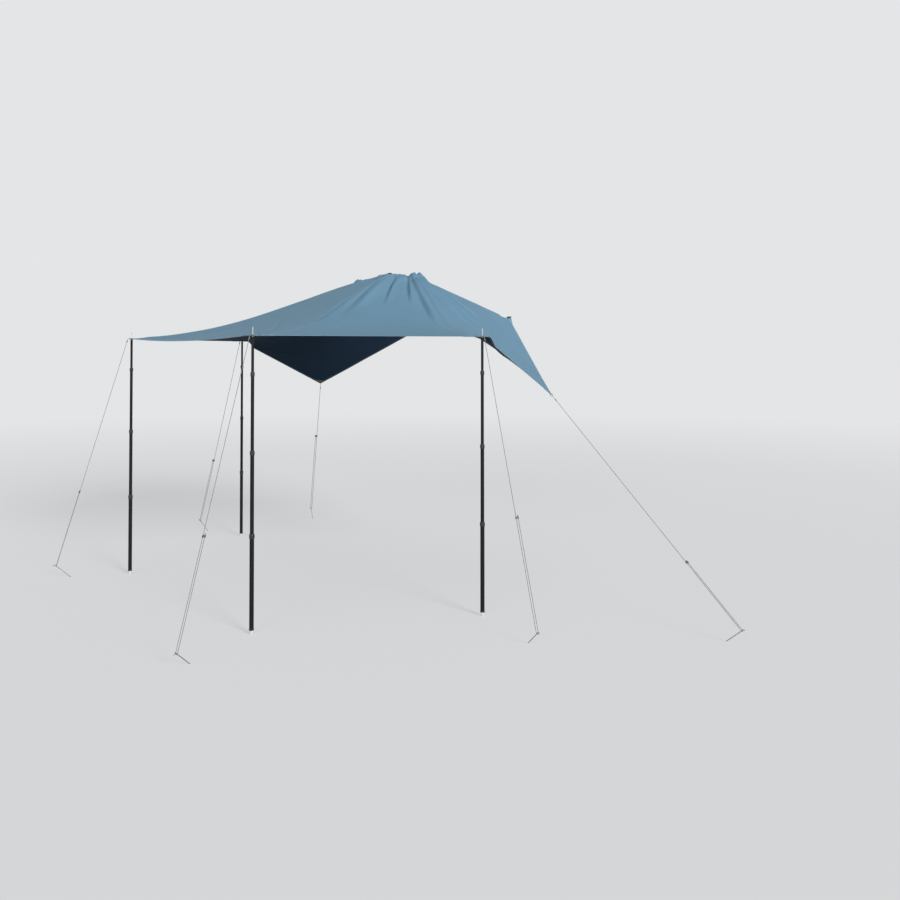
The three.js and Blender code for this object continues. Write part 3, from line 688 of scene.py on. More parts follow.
@dataclass(frozen=True)
class Fold:
    """A fold in the cloth: a ridge with a steep flank, a hollow at its foot, and a long flank.

    Places are metres from the middle of the line between the outer poles, on the front half.
    """

    start: tuple[float, float]
    end: tuple[float, float]
    rise: float
    width: tuple[float, float]
    bow: float = 0.0
    mirrored: float = 0.7
    # a power of the length's share: below one it puts the widest place before the middle
    swell: float = 0.8
    # the steep and the long flank, as shares of the width at that place
    flanks: tuple[float, float] = (0.55, 1.7)
    # the hollow's depth as a share of the rise, and its place and width as shares of the width
    hollow: float = 0.6
    hollow_place: float = 0.95
    hollow_width: float = 0.6
    # the shares of the length between which the fold rises and falls
    rises: tuple[float, float] = (-0.06, 0.12)
    falls: tuple[float, float] = (0.55, 1.0)

    def height(self, x: Array, y: Array) -> Array:
        """Height that the fold adds at places on its own half.

        Across the fold a bell, narrow to the right of its way and wide to the left, less a
        smaller bell at its right foot. Along it a smooth rise at the start and a smooth fall over
        its second half. Its width swells towards the middle, and a bow bends it as a parabola.

        Args:
            x: places across the row.
            y: places in depth.

        Returns:
            The height.
        """
        start, end = np.array(self.start), np.array(self.end)
        way = end - start
        length = float(np.linalg.norm(way))
        way = way / length
        along = ((x - start[0]) * way[0] + (y - start[1]) * way[1]) / length
        clear = np.clip(along, 0.0, 1.0)
        across = (x - start[0]) * way[1] - (y - start[1]) * way[0] - 4.0 * self.bow * clear * (1.0 - clear)
        wide = self.width[0] + (self.width[1] - self.width[0]) * np.sin(np.pi * clear**self.swell)
        steep, long = self.flanks
        bell = np.exp(-((across / np.where(across > 0.0, steep * wide, long * wide)) ** 2))
        dip = self.hollow * np.exp(-(((across - self.hollow_place * wide) / (self.hollow_width * wide)) ** 2))
        fade = smoothstep(along, *self.rises) * (1.0 - smoothstep(along, *self.falls))
        return self.rise * fade * (bell - dip)


@dataclass
class ClothShape:
    """The cloth's sizes in metres, from the middle of the line between the outer poles."""

    outer_half: float = 1.115
    inner_half: float = 1.895
    inner_depth: float = 1.520
    wing_half: float = 1.770
    wing_depth: float = 2.450
    notch_half: float = 0.580
    notch_depth: float = 3.150
    crown_half: float = 0.410
    crown_depth: float = 2.080
    hem_reach: float = 0.020
    eyelet_height: float = 2.120
    wing_height: float = 1.640
    notch_height: float = 2.340
    crown_height: float = 2.710
    crown_arch: float = 0.042
    edge_sag: float = 0.028
    cloth_sag: float = 0.072
    pad_flat: float = 0.066
    pad_blend: float = 0.150
    grip_flat: float = 0.036
    grip_blend: float = 0.080
    fold_soft: float = 0.1
    fold_samples: int = 4
    outer_share: float = 0.3
    inner_share: float = 0.62
    fan_share: float = 0.34
    sag_share: float = 1.0 / 3.0
    hook_inset: float = 0.025
    folds: tuple[Fold, ...] = (
        # from the middle of the crown towards the outer pole
        Fold((0.04, 2.02), (0.90, 0.60), 0.021, (0.024, 0.046), mirrored=0.2),
        Fold((0.10, 2.03), (0.82, 0.98), 0.031, (0.024, 0.052), mirrored=0.25),
        Fold((0.16, 2.04), (0.80, 1.06), 0.021, (0.018, 0.036), mirrored=0.2),
        Fold((0.20, 2.05), (0.86, 1.36), 0.018, (0.016, 0.030), mirrored=0.2),
        Fold((0.27, 2.05), (0.56, 1.66), 0.017, (0.016, 0.026), mirrored=0.3),
        # from the end of the crown towards the inner pole
        Fold((0.36, 2.05), (0.94, 1.60), 0.021, (0.017, 0.034)),
        Fold((0.38, 2.05), (1.44, 1.48), 0.031, (0.020, 0.052), bow=-0.02),
        Fold((0.42, 2.05), (1.48, 1.58), 0.021, (0.017, 0.044), bow=-0.03),
        Fold((0.41, 2.09), (1.34, 2.06), 0.035, (0.020, 0.054), bow=0.05),
        Fold((0.45, 2.14), (1.24, 2.30), 0.019, (0.018, 0.044), mirrored=0.5),
        Fold((0.46, 2.30), (1.05, 2.52), 0.013, (0.016, 0.036), mirrored=0.5),
        # from each pole and tip, where the guy lines pull
        Fold((1.09, 0.03), (0.14, 0.78), 0.011, (0.016, 0.044), mirrored=1.0),
        Fold((1.06, 0.01), (0.20, 0.20), 0.007, (0.016, 0.044), mirrored=1.0),
        Fold((1.11, 0.06), (0.80, 0.80), 0.007, (0.016, 0.036), mirrored=0.8),
        Fold((1.86, 1.50), (1.10, 1.10), 0.008, (0.016, 0.042)),
        Fold((1.86, 1.54), (1.30, 1.78), 0.006, (0.022, 0.042)),
        Fold((1.88, 1.58), (1.45, 2.22), 0.006, (0.024, 0.050)),
        Fold((1.75, 2.42), (1.25, 2.02), 0.004, (0.035, 0.060)),
        Fold((1.73, 2.46), (1.02, 2.72), 0.004, (0.035, 0.060)),
        Fold((0.62, 3.11), (1.10, 2.70), 0.005, (0.024, 0.050)),
        Fold((0.58, 3.10), (0.62, 2.52), 0.005, (0.024, 0.045)),
        Fold((0.91, 2.34), (1.06, 2.42), 0.006, (0.010, 0.016)),
        Fold((0.90, 2.42), (1.04, 2.48), 0.006, (0.010, 0.016)),
    )
    gather_rise: float = 0.0035
    gather_pitch: float = 0.034
    gather_reach: float = 0.16
    # the second sine of the gathers: its height and pitch as shares of the first, and its start
    gather_second: tuple[float, float, float] = (0.6, 1.7, 1.0)

    def __post_init__(self) -> None:
        """Works out the corners of the right half."""
        self.outer_pole = np.array([self.outer_half, 0.0, self.eyelet_height])
        self.inner_pole = np.array([self.inner_half, self.inner_depth, self.eyelet_height])
        self.wing_tip = np.array([self.wing_half, self.wing_depth, self.wing_height])
        self.notch_corner = np.array([self.notch_half, self.notch_depth, self.notch_height])
        self.crown_end = np.array([self.crown_half, self.crown_depth, self.crown_height])
        middle = np.array([0.0, 0.0, self.eyelet_height])
        self.outer_corner = self.hem_corner(middle, self.outer_pole, self.inner_pole)
        self.inner_corner = self.hem_corner(self.outer_pole, self.inner_pole, self.wing_tip)
        hook_share = 1.0 - self.hook_inset / self.crown_half
        hook_z = self.crown_height + self.crown_arch * (1.0 - hook_share**2)
        self.crown_hook = np.array([self.crown_half * hook_share, self.crown_depth, hook_z])
        self.crown_middle = np.array([0.0, self.crown_depth, self.crown_height + self.crown_arch])
        along_hems = [unit(corner - self.wing_tip) for corner in (self.inner_corner, self.notch_corner)]
        self.tip_inward = unit(along_hems[0] + along_hems[1])

    def hem_corner(self, before: Array, here: Array, after: Array) -> Array:
        """A corner of the cloth, a hem's reach outside the pole that stands in it.

        Args:
            before: the place before it along the edge.
            here: the pole's place.
            after: the place after it.

        Returns:
            The corner's place.
        """
        into = unit((here - before) * [1.0, 1.0, 0.0])
        out = unit((after - here) * [1.0, 1.0, 0.0])
        first = np.array([into[1], -into[0], 0.0])
        second = np.array([out[1], -out[0], 0.0])
        way = unit(first + second)
        return here + way * self.hem_reach / float(way @ first)

    def crown(self, share: Array) -> Array:
        """Places on the crown edge, which arches as one minus the share squared."""
        rise = self.crown_height + self.crown_arch * (1.0 - share**2)
        return np.stack([self.crown_half * share, np.full_like(share, self.crown_depth), rise], -1)

    def outer_edge(self, share: Array) -> Array:
        """Places on the outer edge: a sagging line to the outer pole, then two straight lines.

        Args:
            share: how far along the half edge, from its middle to the wing tip.

        Returns:
            The places.
        """
        s = share[..., None]
        along = s / self.outer_share
        sag = self.eyelet_height - self.edge_sag * (1.0 - along**2)
        front = np.concatenate([self.outer_corner[0] * along, np.full_like(s, -self.hem_reach), sag], -1)
        run = (s - self.outer_share) / (self.inner_share - self.outer_share)
        side = self.outer_corner + (self.inner_corner - self.outer_corner) * run
        fall = (s - self.inner_share) / (1.0 - self.inner_share)
        wing = self.inner_corner + (self.wing_tip - self.inner_corner) * fall
        return np.where(s <= self.outer_share, front, np.where(s <= self.inner_share, side, wing))

    def inner_edge(self, share: Array) -> Array:
        """Places on the inner edge: the crown arch, then a straight line to the notch corner.

        Args:
            share: how far along the half edge.

        Returns:
            The places.
        """
        s = share[..., None]
        fan = self.crown(self.fan_share * share / self.outer_share)
        run = (share - self.outer_share) / (self.inner_share - self.outer_share)
        end = self.crown(self.fan_share + (1.0 - self.fan_share) * run)
        fall = (s - self.inner_share) / (1.0 - self.inner_share)
        wing = self.crown_end + (self.notch_corner - self.crown_end) * fall
        return np.where(s <= self.outer_share, fan, np.where(s <= self.inner_share, end, wing))

    def softened(self, edge: Callable[[Array], Array], share: Array, reach: Array) -> Array:
        """An edge's places, each the mean of its places over a stretch on both sides."""
        steps = np.linspace(-1.0, 1.0, 2 * self.fold_samples + 1)
        return sum(edge(share + reach * step) for step in steps) / len(steps)

    def hold(self, places: Array, flat: float, blend: float) -> tuple[Array, Array]:
        """How flat the poles and hooks hold the cloth, and at what height.

        Args:
            places: places on the cloth.
            flat: how far from each the cloth is held in full.
            blend: how far from each the hold ends.

        Returns:
            The weight, from 0 to 1, and the height of the nearest pad.
        """
        pads = [self.outer_pole, self.inner_pole, self.notch_corner, self.crown_hook, self.crown_middle]
        weight = np.zeros(places.shape[:-1])
        height = np.zeros(places.shape[:-1])
        for pad in pads:
            away = np.hypot(np.abs(places[..., 0]) - pad[0], places[..., 1] - pad[1])
            held = 1.0 - smoothstep(away, flat, blend)
            height = np.where(held > weight, pad[2], height)
            weight = np.maximum(held, weight)
        return weight, height

    def relief(self, x: Array, y: Array) -> Array:
        """Height that folds and the crown's gathers add.

        A fold stands in full on the front half and is mirrored, weaker, on the rear half. The
        gathers are two sines across, dying away from the crown edge.

        Args:
            x: places across the row.
            y: places in depth.

        Returns:
            The height at each place.
        """
        height = np.zeros_like(x)
        for fold in self.folds:
            height += fold.height(x, y) + fold.mirrored * fold.height(-x, y)
        away = np.hypot(np.maximum(np.abs(x) - self.crown_half, 0.0), y - self.crown_depth)
        rise, pitch, begin = self.gather_second
        wave = np.sin(2 * np.pi * x / self.gather_pitch)
        wave = wave + rise * np.sin(2 * np.pi * x / (pitch * self.gather_pitch) + begin)
        return height + self.gather_rise * wave * (1.0 - smoothstep(away, 0.0, self.gather_reach))

    def surface(self, share: Array, depth: Array) -> Array:
        """Places on the cloth in the row's frame.

        On the straight line between the softened edges, lowered by the sag, held flat by the
        pads, then raised by pleats and folds.

        Args:
            share: along the edges, from -1 at the rear wing to 1 at the front wing.
            depth: from 0 on the outer edge to 1 on the inner edge.

        Returns:
            The places, in metres.
        """
        share, depth = np.broadcast_arrays(np.asarray(share, float), np.asarray(depth, float))
        half = np.abs(share)
        side = np.where(share < 0.0, -1.0, 1.0)
        reach = np.minimum(self.fold_soft * np.sin(np.pi * depth), 1.0 - half)
        start = self.softened(self.outer_edge, half, reach)
        end = self.softened(self.inner_edge, half, reach)
        places = start + (end - start) * depth[..., None]
        power = 1.0 / self.sag_share - 1.0
        peak = self.sag_share * (1.0 - self.sag_share) ** power
        wing = np.maximum(0.0, half - self.inner_share) / (1.0 - self.inner_share)
        places[..., 2] -= self.cloth_sag * (1.0 - wing**2) * depth * (1.0 - depth) ** power / peak
        weight, height = self.hold(places, self.pad_flat, self.pad_blend)
        places[..., 2] += (height - places[..., 2]) * weight
        x, y = side * places[..., 0], places[..., 1]
        weight, height = self.hold(places, self.grip_flat, self.grip_blend)
        places[..., 2] += self.relief(x, y) * (1.0 - weight)
        places[..., 0] = x
        places[..., 1] -= DEPTH_MIDDLE
        return places

    def normals(self, share: Array, depth: Array, step: float = 0.002) -> Array:
        """Ways straight up out of the cloth, from the differences of places a small step apart.

        Args:
            share: along the edges.
            depth: across the cloth.
            step: the step, as a share.

        Returns:
            The unit normals.
        """
        share, depth = np.broadcast_arrays(np.asarray(share, float), np.asarray(depth, float))
        low_s, high_s = np.maximum(share - step, -1.0), np.minimum(share + step, 1.0)
        low_d, high_d = np.maximum(depth - step, 0.0), np.minimum(depth + step, 1.0)
        over = self.surface(high_s, depth) - self.surface(low_s, depth)
        deep = self.surface(share, high_d) - self.surface(share, low_d)
        return unit(np.cross(over, deep))


@dataclass
class Canopy:
    """The cloth sheet with its hems, patches and snaps."""

    shape: ClothShape
    dresser: Dresser
    columns: int = 320
    rows: int = 132
    # how strongly the grid's rows are pushed towards the crown
    push: float = 0.108
    # the UV map's reach in metres for a share of one, along the edges and across
    reach: tuple[float, float] = (3.9, 2.6)
    half_thickness: float = 0.0006
    # the least upward part of a normal by which the cloth's half thickness is divided
    steepest: float = 0.5
    hole_radius: float = 0.0078
    tip_hole_radius: float = 0.0046
    cutter_height: float = 0.02
    # points along the long hems, along the wings' hems and across a hem
    long_steps: int = 361
    wing_steps: int = 90
    hem_steps: int = 4
    hem_thickness: float = 0.0007
    # the room between the cloth and the hem folded round it
    hem_seat: float = 0.0001
    # how far the hem's turn stands out: outside as a share of its height, inside in metres
    hem_turn: tuple[float, float] = (1.2, 0.0002)
    # the step in share or depth from which a metre inwards is worked out
    small_step: float = 0.001
    patch_steps: int = 14
    # the heights of a patch's own two faces above the cloth's face
    patch_faces: tuple[float, float] = (0.0013, 0.0021)
    # the pole patches' half length in share and reach in depth, and how blunt their ends are
    pole_patch: tuple[float, float] = (0.030, 0.048)
    pole_patch_blunt: float = 0.02
    # the reach of the patches at the wing tips and the notch corners, in share or depth
    tip_patch: float = 0.045
    notch_patch: float = 0.06
    # where the snap lies on each wing, in share and depth
    snap_place: tuple[float, float] = (0.70, 0.30)
    # the snap's section: distances from its axis and above the cloth's middle
    snap_section: tuple[tuple[float, float], ...] = (
        (0.0, 0.0038), (0.0030, 0.0036), (0.0052, 0.0028), (0.0058, 0.0022),
        (0.0082, 0.0022), (0.0088, 0.0014), (0.0088, 0.0004), (0.0, 0.0004),
    )
    # the surface laid flat with its edge lengths kept, and a hem's width on each side
    cut: tuple[float, float] = (4.44, 3.38)
    # points along the edges and across the cloth from which its area is worked out
    area_steps: tuple[int, int] = (161, 81)

    def spread(self) -> tuple[Array, Array]:
        """Grid shares: even along the edges, pushed towards the crown across the cloth.

        The push is half a sine over the depth, times what is left to the crown.

        Returns:
            The shares along the edges and across the cloth.
        """
        along = np.linspace(-1.0, 1.0, self.columns)
        deep = np.linspace(0.0, 1.0, self.rows)
        deep = deep + self.push * np.sin(np.pi * deep) * (1.0 - deep)
        return along, np.clip(deep, 0.0, 1.0)

    def sheet(self) -> bpy.types.Object:
        """The cloth as one closed sheet with a hole for each eyelet and each guy loop.

        Returns:
            The sheet object.
        """
        along, deep = self.spread()
        share, depth = np.meshgrid(along, deep, indexing="ij")
        places = self.shape.surface(share, depth)
        normals = self.shape.normals(share, depth)
        uv = np.stack([share * self.reach[0], depth * self.reach[1]], axis=-1)
        lift = np.zeros_like(places)
        lift[..., 2] = self.half_thickness / np.maximum(normals[..., 2], self.steepest)
        top, under = places + lift, places - lift
        # the underside slot gets a navy much darker than the top: painted shade
        sheet = self.dresser.dress(closed_sheet("canopy_cloth", top, under, uv), TOP_CLOTH, UNDER_CLOTH_PAINTED_SHADE)
        self.pierce(sheet)
        return sheet

    def pierce(self, sheet: bpy.types.Object) -> None:
        """Cuts the round holes for the eyelets and the guy loops.

        Upright cylinders at the poles. At each wing tip one at right angles to the way inwards,
        so far from the tip that the guy's eye loop bears on the hole's outer edge.

        Args:
            sheet: the closed sheet.
        """
        shape = self.shape
        holes: list[tuple[Matrix, float]] = []
        for _, side in ENDS:
            for pole in (shape.outer_pole, shape.inner_pole):
                place = Matrix.Translation((side * pole[0], pole[1] - DEPTH_MIDDLE, pole[2]))
                holes.append((place, self.hole_radius))
            reach = LOOP_RADIUS - CORD_RADIUS - TOUCH_GAP + self.tip_hole_radius
            hole = (shape.wing_tip + shape.tip_inward * reach) * [side, 1.0, 1.0]
            up = UP - shape.tip_inward * shape.tip_inward[2]
            turn = Vector((side * up[0], up[1], up[2])).to_track_quat("Z", "Y").to_matrix().to_4x4()
            place = Matrix.Translation((hole[0], hole[1] - DEPTH_MIDDLE, hole[2])) @ turn
            holes.append((place, self.tip_hole_radius))
        work = bmesh.new()
        for place, radius in holes:
            bmesh.ops.create_cone(work, cap_ends=True, segments=ROUND_SIDES, radius1=radius,
                                  radius2=radius, depth=self.cutter_height, matrix=place)
        cutter = bpy.data.meshes.new("cutter")
        work.to_mesh(cutter)
        work.free()
        tool = bpy.data.objects.new("cutter", cutter)
        bpy.context.scene.collection.objects.link(tool)
        cut = sheet.modifiers.new("holes", "BOOLEAN")
        cut.object = tool
        cut.solver = "MANIFOLD"
        graph = bpy.context.evaluated_depsgraph_get()
        pierced = bpy.data.meshes.new_from_object(sheet.evaluated_get(graph))
        sheet.modifiers.clear()
        sheet.data = pierced
        self.dresser.dress(sheet, TOP_CLOTH, UNDER_CLOTH_PAINTED_SHADE, TOP_CLOTH)
        bpy.data.objects.remove(tool)

    def band(self, name: str, share: Array, depth: Array, inward: Array) -> bpy.types.Object:
        """A hem: cloth folded round an edge as a flat U, carried along it.

        The section goes in on top, round the edge and back underneath, then returns inside.

        Args:
            name: the object's name.
            share: shares along the edge of the cloth.
            depth: depths along it.
            inward: for each place, the step in share and depth for one metre inwards.

        Returns:
            The hem object.
        """
        steps = np.linspace(HEM_WIDTH, 0.0, self.hem_steps)
        reach_s = share[:, None] + inward[:, None, 0] * steps
        reach_d = depth[:, None] + inward[:, None, 1] * steps
        places = self.shape.surface(reach_s, reach_d)
        normals = self.shape.normals(reach_s, reach_d)
        edge_out = unit(places[:, -1] - places[:, -2])
        skin = self.half_thickness + self.hem_seat
        proud = skin + self.hem_thickness
        top = places + normals * proud
        under = places - normals * proud
        turn = places[:, -1:] + edge_out[:, None] * (proud * self.hem_turn[0])
        back_turn = places[:, -1:] + edge_out[:, None] * self.hem_turn[1]
        ring = np.concatenate([
            top, turn, under[:, ::-1], (places - normals * skin), back_turn,
            (places + normals * skin)[:, ::-1],
        ], axis=1)
        across = np.concatenate([steps, [0.0], steps[::-1], steps, [0.0], steps[::-1]])
        count = ring.shape[1]
        faces = grid_faces(len(share), count, wrap=True).tolist()
        last = (len(share) - 1) * count
        faces.append(list(range(count)))
        faces.append([last + number for number in range(count)][::-1])
        hem = mesh_object(name, ring, faces, uv_grid(across, distances(places[:, -1])))
        outward(hem)
        # the faces underneath take the underside finish, whose darker navy is painted shade
        column = np.arange(len(faces)) % count
        below = (column > self.hem_steps) & (column <= 2 * self.hem_steps)
        hem.data.polygons.foreach_set("material_index", below.astype(np.int32))
        return self.dresser.dress(hem, HEM_TAPE, HEM_UNDER_PAINTED_SHADE)

    def inward_steps(self, share: Array, depth: Array, ways: Array) -> Array:
        """Steps in share and depth that move a metre inwards from an edge.

        Args:
            share: shares along the edge.
            depth: depths along it.
            ways: the signs of the way inwards, in share and depth.

        Returns:
            The two steps at each place: a small step, divided by how far it moves.
        """
        small = self.small_step
        there = self.shape.surface(share + ways[0] * small, depth + ways[1] * small)
        far = np.linalg.norm(there - self.shape.surface(share, depth), axis=-1)
        return np.stack([ways[0] * small / far, ways[1] * small / far], axis=-1)

    def hems(self) -> list[bpy.types.Object]:
        """The four runs of hem round the cloth.

        Returns:
            The hem objects.
        """
        along = np.linspace(-1.0, 1.0, self.long_steps)
        deep = np.linspace(0.0, 1.0, self.wing_steps)
        none, full = np.zeros_like(along), np.ones_like(along)
        runs = [
            ("outer_hem", along, none, (0.0, 1.0)),
            ("inner_hem", along, full, (0.0, -1.0)),
            ("rear_wing_hem", np.full_like(deep, -1.0), deep, (1.0, 0.0)),
            ("front_wing_hem", np.full_like(deep, 1.0), deep, (-1.0, 0.0)),
        ]
        made = []
        for name, share, depth, ways in runs:
            inward = self.inward_steps(share, depth, np.array(ways))
            made.append(self.band(name, share, depth, inward))
        return made

    def patch(self, name: str, share: Array, depth: Array, face: Face) -> bpy.types.Object:
        """A sewn patch over one face of the cloth, lifted so far that it clears the hem.

        Args:
            name: the object's name.
            share: a grid of shares that the patch covers.
            depth: the same grid's depths.
            face: the face it is sewn to.

        Returns:
            The patch object.
        """
        places = self.shape.surface(share, depth)
        normals = self.shape.normals(share, depth) * face.value
        low, high = (places + normals * (self.half_thickness + above) for above in self.patch_faces)
        rows, columns = places.shape[:2]
        across, along = np.linspace(0.0, PATCH_WIDTH, rows), np.linspace(0.0, PATCH_WIDTH, columns)
        made = closed_sheet(name, high, low, np.stack(np.meshgrid(across, along, indexing="ij"), axis=-1))
        outward(made)
        finish = PATCH_TOP if face is Face.TOP else PATCH_UNDER
        return self.dresser.dress(made, finish, finish)

    def patches(self) -> list[bpy.types.Object]:
        """The patches at the poles, the wing tips and the notch corners, on both faces.

        Returns:
            The patch objects.
        """
        shape = self.shape
        across = np.linspace(-1.0, 1.0, self.patch_steps)[:, None]
        deep = np.linspace(0.0, 1.0, self.patch_steps)[None, :]
        corner = np.linspace(0.0, 1.0, self.patch_steps)[:, None]
        places = []
        for end, side in ENDS:
            for pole, middle in (("outer", shape.outer_share), ("inner", shape.inner_share)):
                # a half moon whose straight side lies on the hem
                share = side * (middle + self.pole_patch[0] * across) + 0.0 * deep
                round_end = np.sqrt(np.maximum(1.0 - across**2, self.pole_patch_blunt))
                places.append((f"{end}_{pole}_pole_patch", share, self.pole_patch[1] * round_end * deep))
            share = side * (1.0 - self.tip_patch * corner) + 0.0 * deep
            places.append((f"{end}_wing_tip_patch", share, self.tip_patch * (1.0 - corner) * deep))
            places.append((f"{end}_notch_patch", share, 1.0 - self.notch_patch * (1.0 - corner) * deep))
        return [
            self.patch(f"{name}_{face.name.lower()}", share, depth, face)
            for name, share, depth in places
            for face in Face
        ]

    def snap(self, name: str, share: float, depth: float) -> bpy.types.Object:
        """A press snap: a low dome with a rim, its section turned about the cloth's normal.

        Args:
            name: the object's name.
            share: its share along the edges.
            depth: its depth.

        Returns:
            The snap object.
        """
        place = self.shape.surface(share, depth)
        axis = self.shape.normals(share, depth)
        # a millionth keeps the length above nothing where the cloth lies level
        side = unit(np.cross(axis, UP) + 1e-6)
        other = np.cross(axis, side)
        section = np.array(self.snap_section)
        angle = np.linspace(0.0, 2.0 * np.pi, ROUND_SIDES, endpoint=False)
        ring = np.cos(angle)[None, :, None] * side + np.sin(angle)[None, :, None] * other
        points = place + section[:, 0, None, None] * ring + section[:, 1, None, None] * axis
        made = mesh_object(name, points, grid_faces(len(section), ROUND_SIDES, wrap=True).tolist())
        outward(made, merged=1e-6)
        return self.dresser.dress(made, SNAP_NYLON)

    def build(self) -> None:
        """Makes the cloth and all that is sewn to it, and puts them on the top body."""
        sheet = self.sheet()
        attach(sheet, ROOT)
        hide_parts("canopy")
        share, depth = self.snap_place
        sewn = self.hems() + self.patches()
        sewn += [self.snap(f"{end}_wing_snap", side * share, depth) for end, side in ENDS]
        for piece in sewn:
            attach(piece, ROOT)
        self.area()
        log.info("canopy: %d pieces, %.2f square metres of cloth", 1 + len(sewn), self.area())

    def area(self) -> float:
        """The cloth's area from the cross products of its grid steps.

        Returns:
            The area in square metres.
        """
        wide, deep = self.area_steps
        share, depth = np.meshgrid(np.linspace(-1, 1, wide), np.linspace(0, 1, deep), indexing="ij")
        places = self.shape.surface(share, depth)
        over = places[1:, :-1] - places[:-1, :-1]
        down = places[:-1, 1:] - places[:-1, :-1]
        return float(np.linalg.norm(np.cross(over, down), axis=-1).sum())


# Guy lines


@dataclass
class GuyLine:
    """One guy line: its cord, eye knot, return leg and stopper knot, with slider and peg."""

    name: str
    head: Array
    out: tuple[float, float]
    slider_share: float
    slider_reach: float
    shape: ClothShape
    dresser: Dresser
    nodes: dict[str, bpy.types.Object]
    # half the thickness of the part's cloth, and the thickness of an eyelet's flange
    cloth_half: float = 0.0012
    flange: float = 0.0012
    corner_reach: float = 0.031
    bend_setback: float = 0.010
    leg_spread: float = 0.016
    peg_height: float = 0.105
    slider_length: float = 0.016
    stopper_radius: float = 0.0046
    cord_sides: int = 10
    # points along the bend at the head, the run, the turn round the peg and the eye loop
    bend_steps: int = 9
    run_steps: int = 16
    turn_steps: int = 13
    loop_steps: int = 40
    # the points of the path between which its reference direction turns for the peg
    turning: tuple[float, float] = (12.0, 26.0)
    # wraps and radius of the knots at the eye and at the stopper, and the pitch of both
    eye_wraps: tuple[float, float] = (4.0, 0.0034)
    stopper_wraps: tuple[float, float] = (2.0, 0.0031)
    wrap_pitch: float = 0.0038
    # how far the eye's knot lies from where the run starts
    knot_reach: float = 0.028
    wrap_steps: int = 14
    wrap_sides: int = 8
    # how much thinner the cord is where it is wrapped tight
    wrap_press: float = 0.95
    # a direction along which no line runs
    askew: tuple[float, float, float] = (0.3, 0.5, 0.81)

    def __post_init__(self) -> None:
        """Works out the line's directions and places as the part's source does."""
        out = np.array([self.out[0], self.out[1], 0.0])
        outward_way = unit(out)
        self.sideways = np.cross(UP, outward_way)
        self.turn_centre = np.array([self.head[0] + out[0], self.head[1] + out[1], self.peg_height])
        self.run_end = self.turn_centre - self.sideways * self.leg_spread / 2.0
        self.leg_start = self.turn_centre + self.sideways * self.leg_spread / 2.0
        if self.name.endswith("wing"):
            self.leaving = -self.shape.tip_inward * [np.sign(self.head[0]), 1.0, 1.0]
            self.loop_centre = self.head.copy()
            self.loop_axis = unit(np.cross(self.leaving, UP))
        else:
            self.leaving = outward_way
            top = self.head[2] + self.cloth_half + TOUCH_GAP + self.flange + TOUCH_GAP
            self.loop_centre = np.array([self.head[0], self.head[1], top + CORD_RADIUS])
            self.loop_axis = UP
        self.run_start = self.loop_centre + self.leaving * self.corner_reach
        self.along = unit(self.run_end - self.run_start)
        self.run_length = float(np.linalg.norm(self.run_end - self.run_start))

    def row(self, points: Array) -> Array:
        """Points moved from the drawing's middle line to the row's frame."""
        return points - [0.0, DEPTH_MIDDLE, 0.0]

    def main_path(self) -> tuple[Array, Array]:
        """The cord from its eye loop to the far side of its peg.

        A quadratic bend at the head, a straight run, then half a turn round the peg.

        Returns:
            The path and a reference direction at each of its points.
        """
        share = np.linspace(0.0, 1.0, self.bend_steps)[:, None]
        before = self.run_start - self.leaving * self.bend_setback
        after = self.run_start + self.along * self.bend_setback
        bend = (1 - share) ** 2 * before + 2 * share * (1 - share) * self.run_start + share**2 * after
        stub = self.loop_centre + self.leaving * LOOP_RADIUS
        run = np.linspace(0.0, 1.0, self.run_steps + 1)[1:, None]
        straight = after + (self.run_end - after) * run
        angle = np.linspace(0.0, np.pi, self.turn_steps)[1:, None]
        half = self.leg_spread / 2.0
        turn = self.turn_centre - self.sideways * half * np.cos(angle) + self.along * half * np.sin(angle)
        path = np.concatenate([stub[None], bend, straight, turn])
        across = unit(np.cross(self.along, self.sideways))
        near_peg = smoothstep(np.arange(len(path), dtype=float), *self.turning)[:, None]
        reference = unit(self.sideways * (1.0 - near_peg) + across * near_peg)
        return self.row(path), reference

    def leg_length(self) -> float:
        """How far the return leg runs from the peg to the stopper's middle."""
        grip = self.slider_length / 2.0 + TOUCH_GAP + self.stopper_radius
        return self.run_length * (1.0 - self.slider_share) + grip

    def return_path(self) -> tuple[Array, Array]:
        """The return leg from the peg, through the slider, to the stopper knot.

        Returns:
            The path and its reference directions.
        """
        share = np.linspace(0.0, 1.0, self.run_steps)[:, None]
        path = self.leg_start - self.along * self.leg_length() * share
        across = np.cross(self.along, self.sideways)
        return self.row(path), np.repeat(unit(across)[None], len(path), axis=0)

    def coil(self, name: str, centre: Array, turns: float, radius: float) -> bpy.types.Object:
        """Wraps of cord round the line: a helix with the cord's own section.

        Args:
            name: the object's name.
            centre: the middle of the wraps.
            turns: how many wraps.
            radius: the helix's radius.

        Returns:
            The wraps, as one tube.
        """
        axis = unit(self.along)
        side = unit(np.cross(axis, self.askew))
        other = np.cross(axis, side)
        turn = np.linspace(0.0, turns, int(turns * self.wrap_steps) + 1)[:, None]
        angle = turn * 2.0 * np.pi
        line = centre + side * np.cos(angle) * radius + other * np.sin(angle) * radius
        line = line + axis * (turn - turns / 2.0) * self.wrap_pitch
        reference = np.repeat(axis[None], len(line), axis=0)
        radii = np.full(len(line), CORD_RADIUS * self.wrap_press)
        return swept(name, self.row(line), radii, reference, self.wrap_sides)

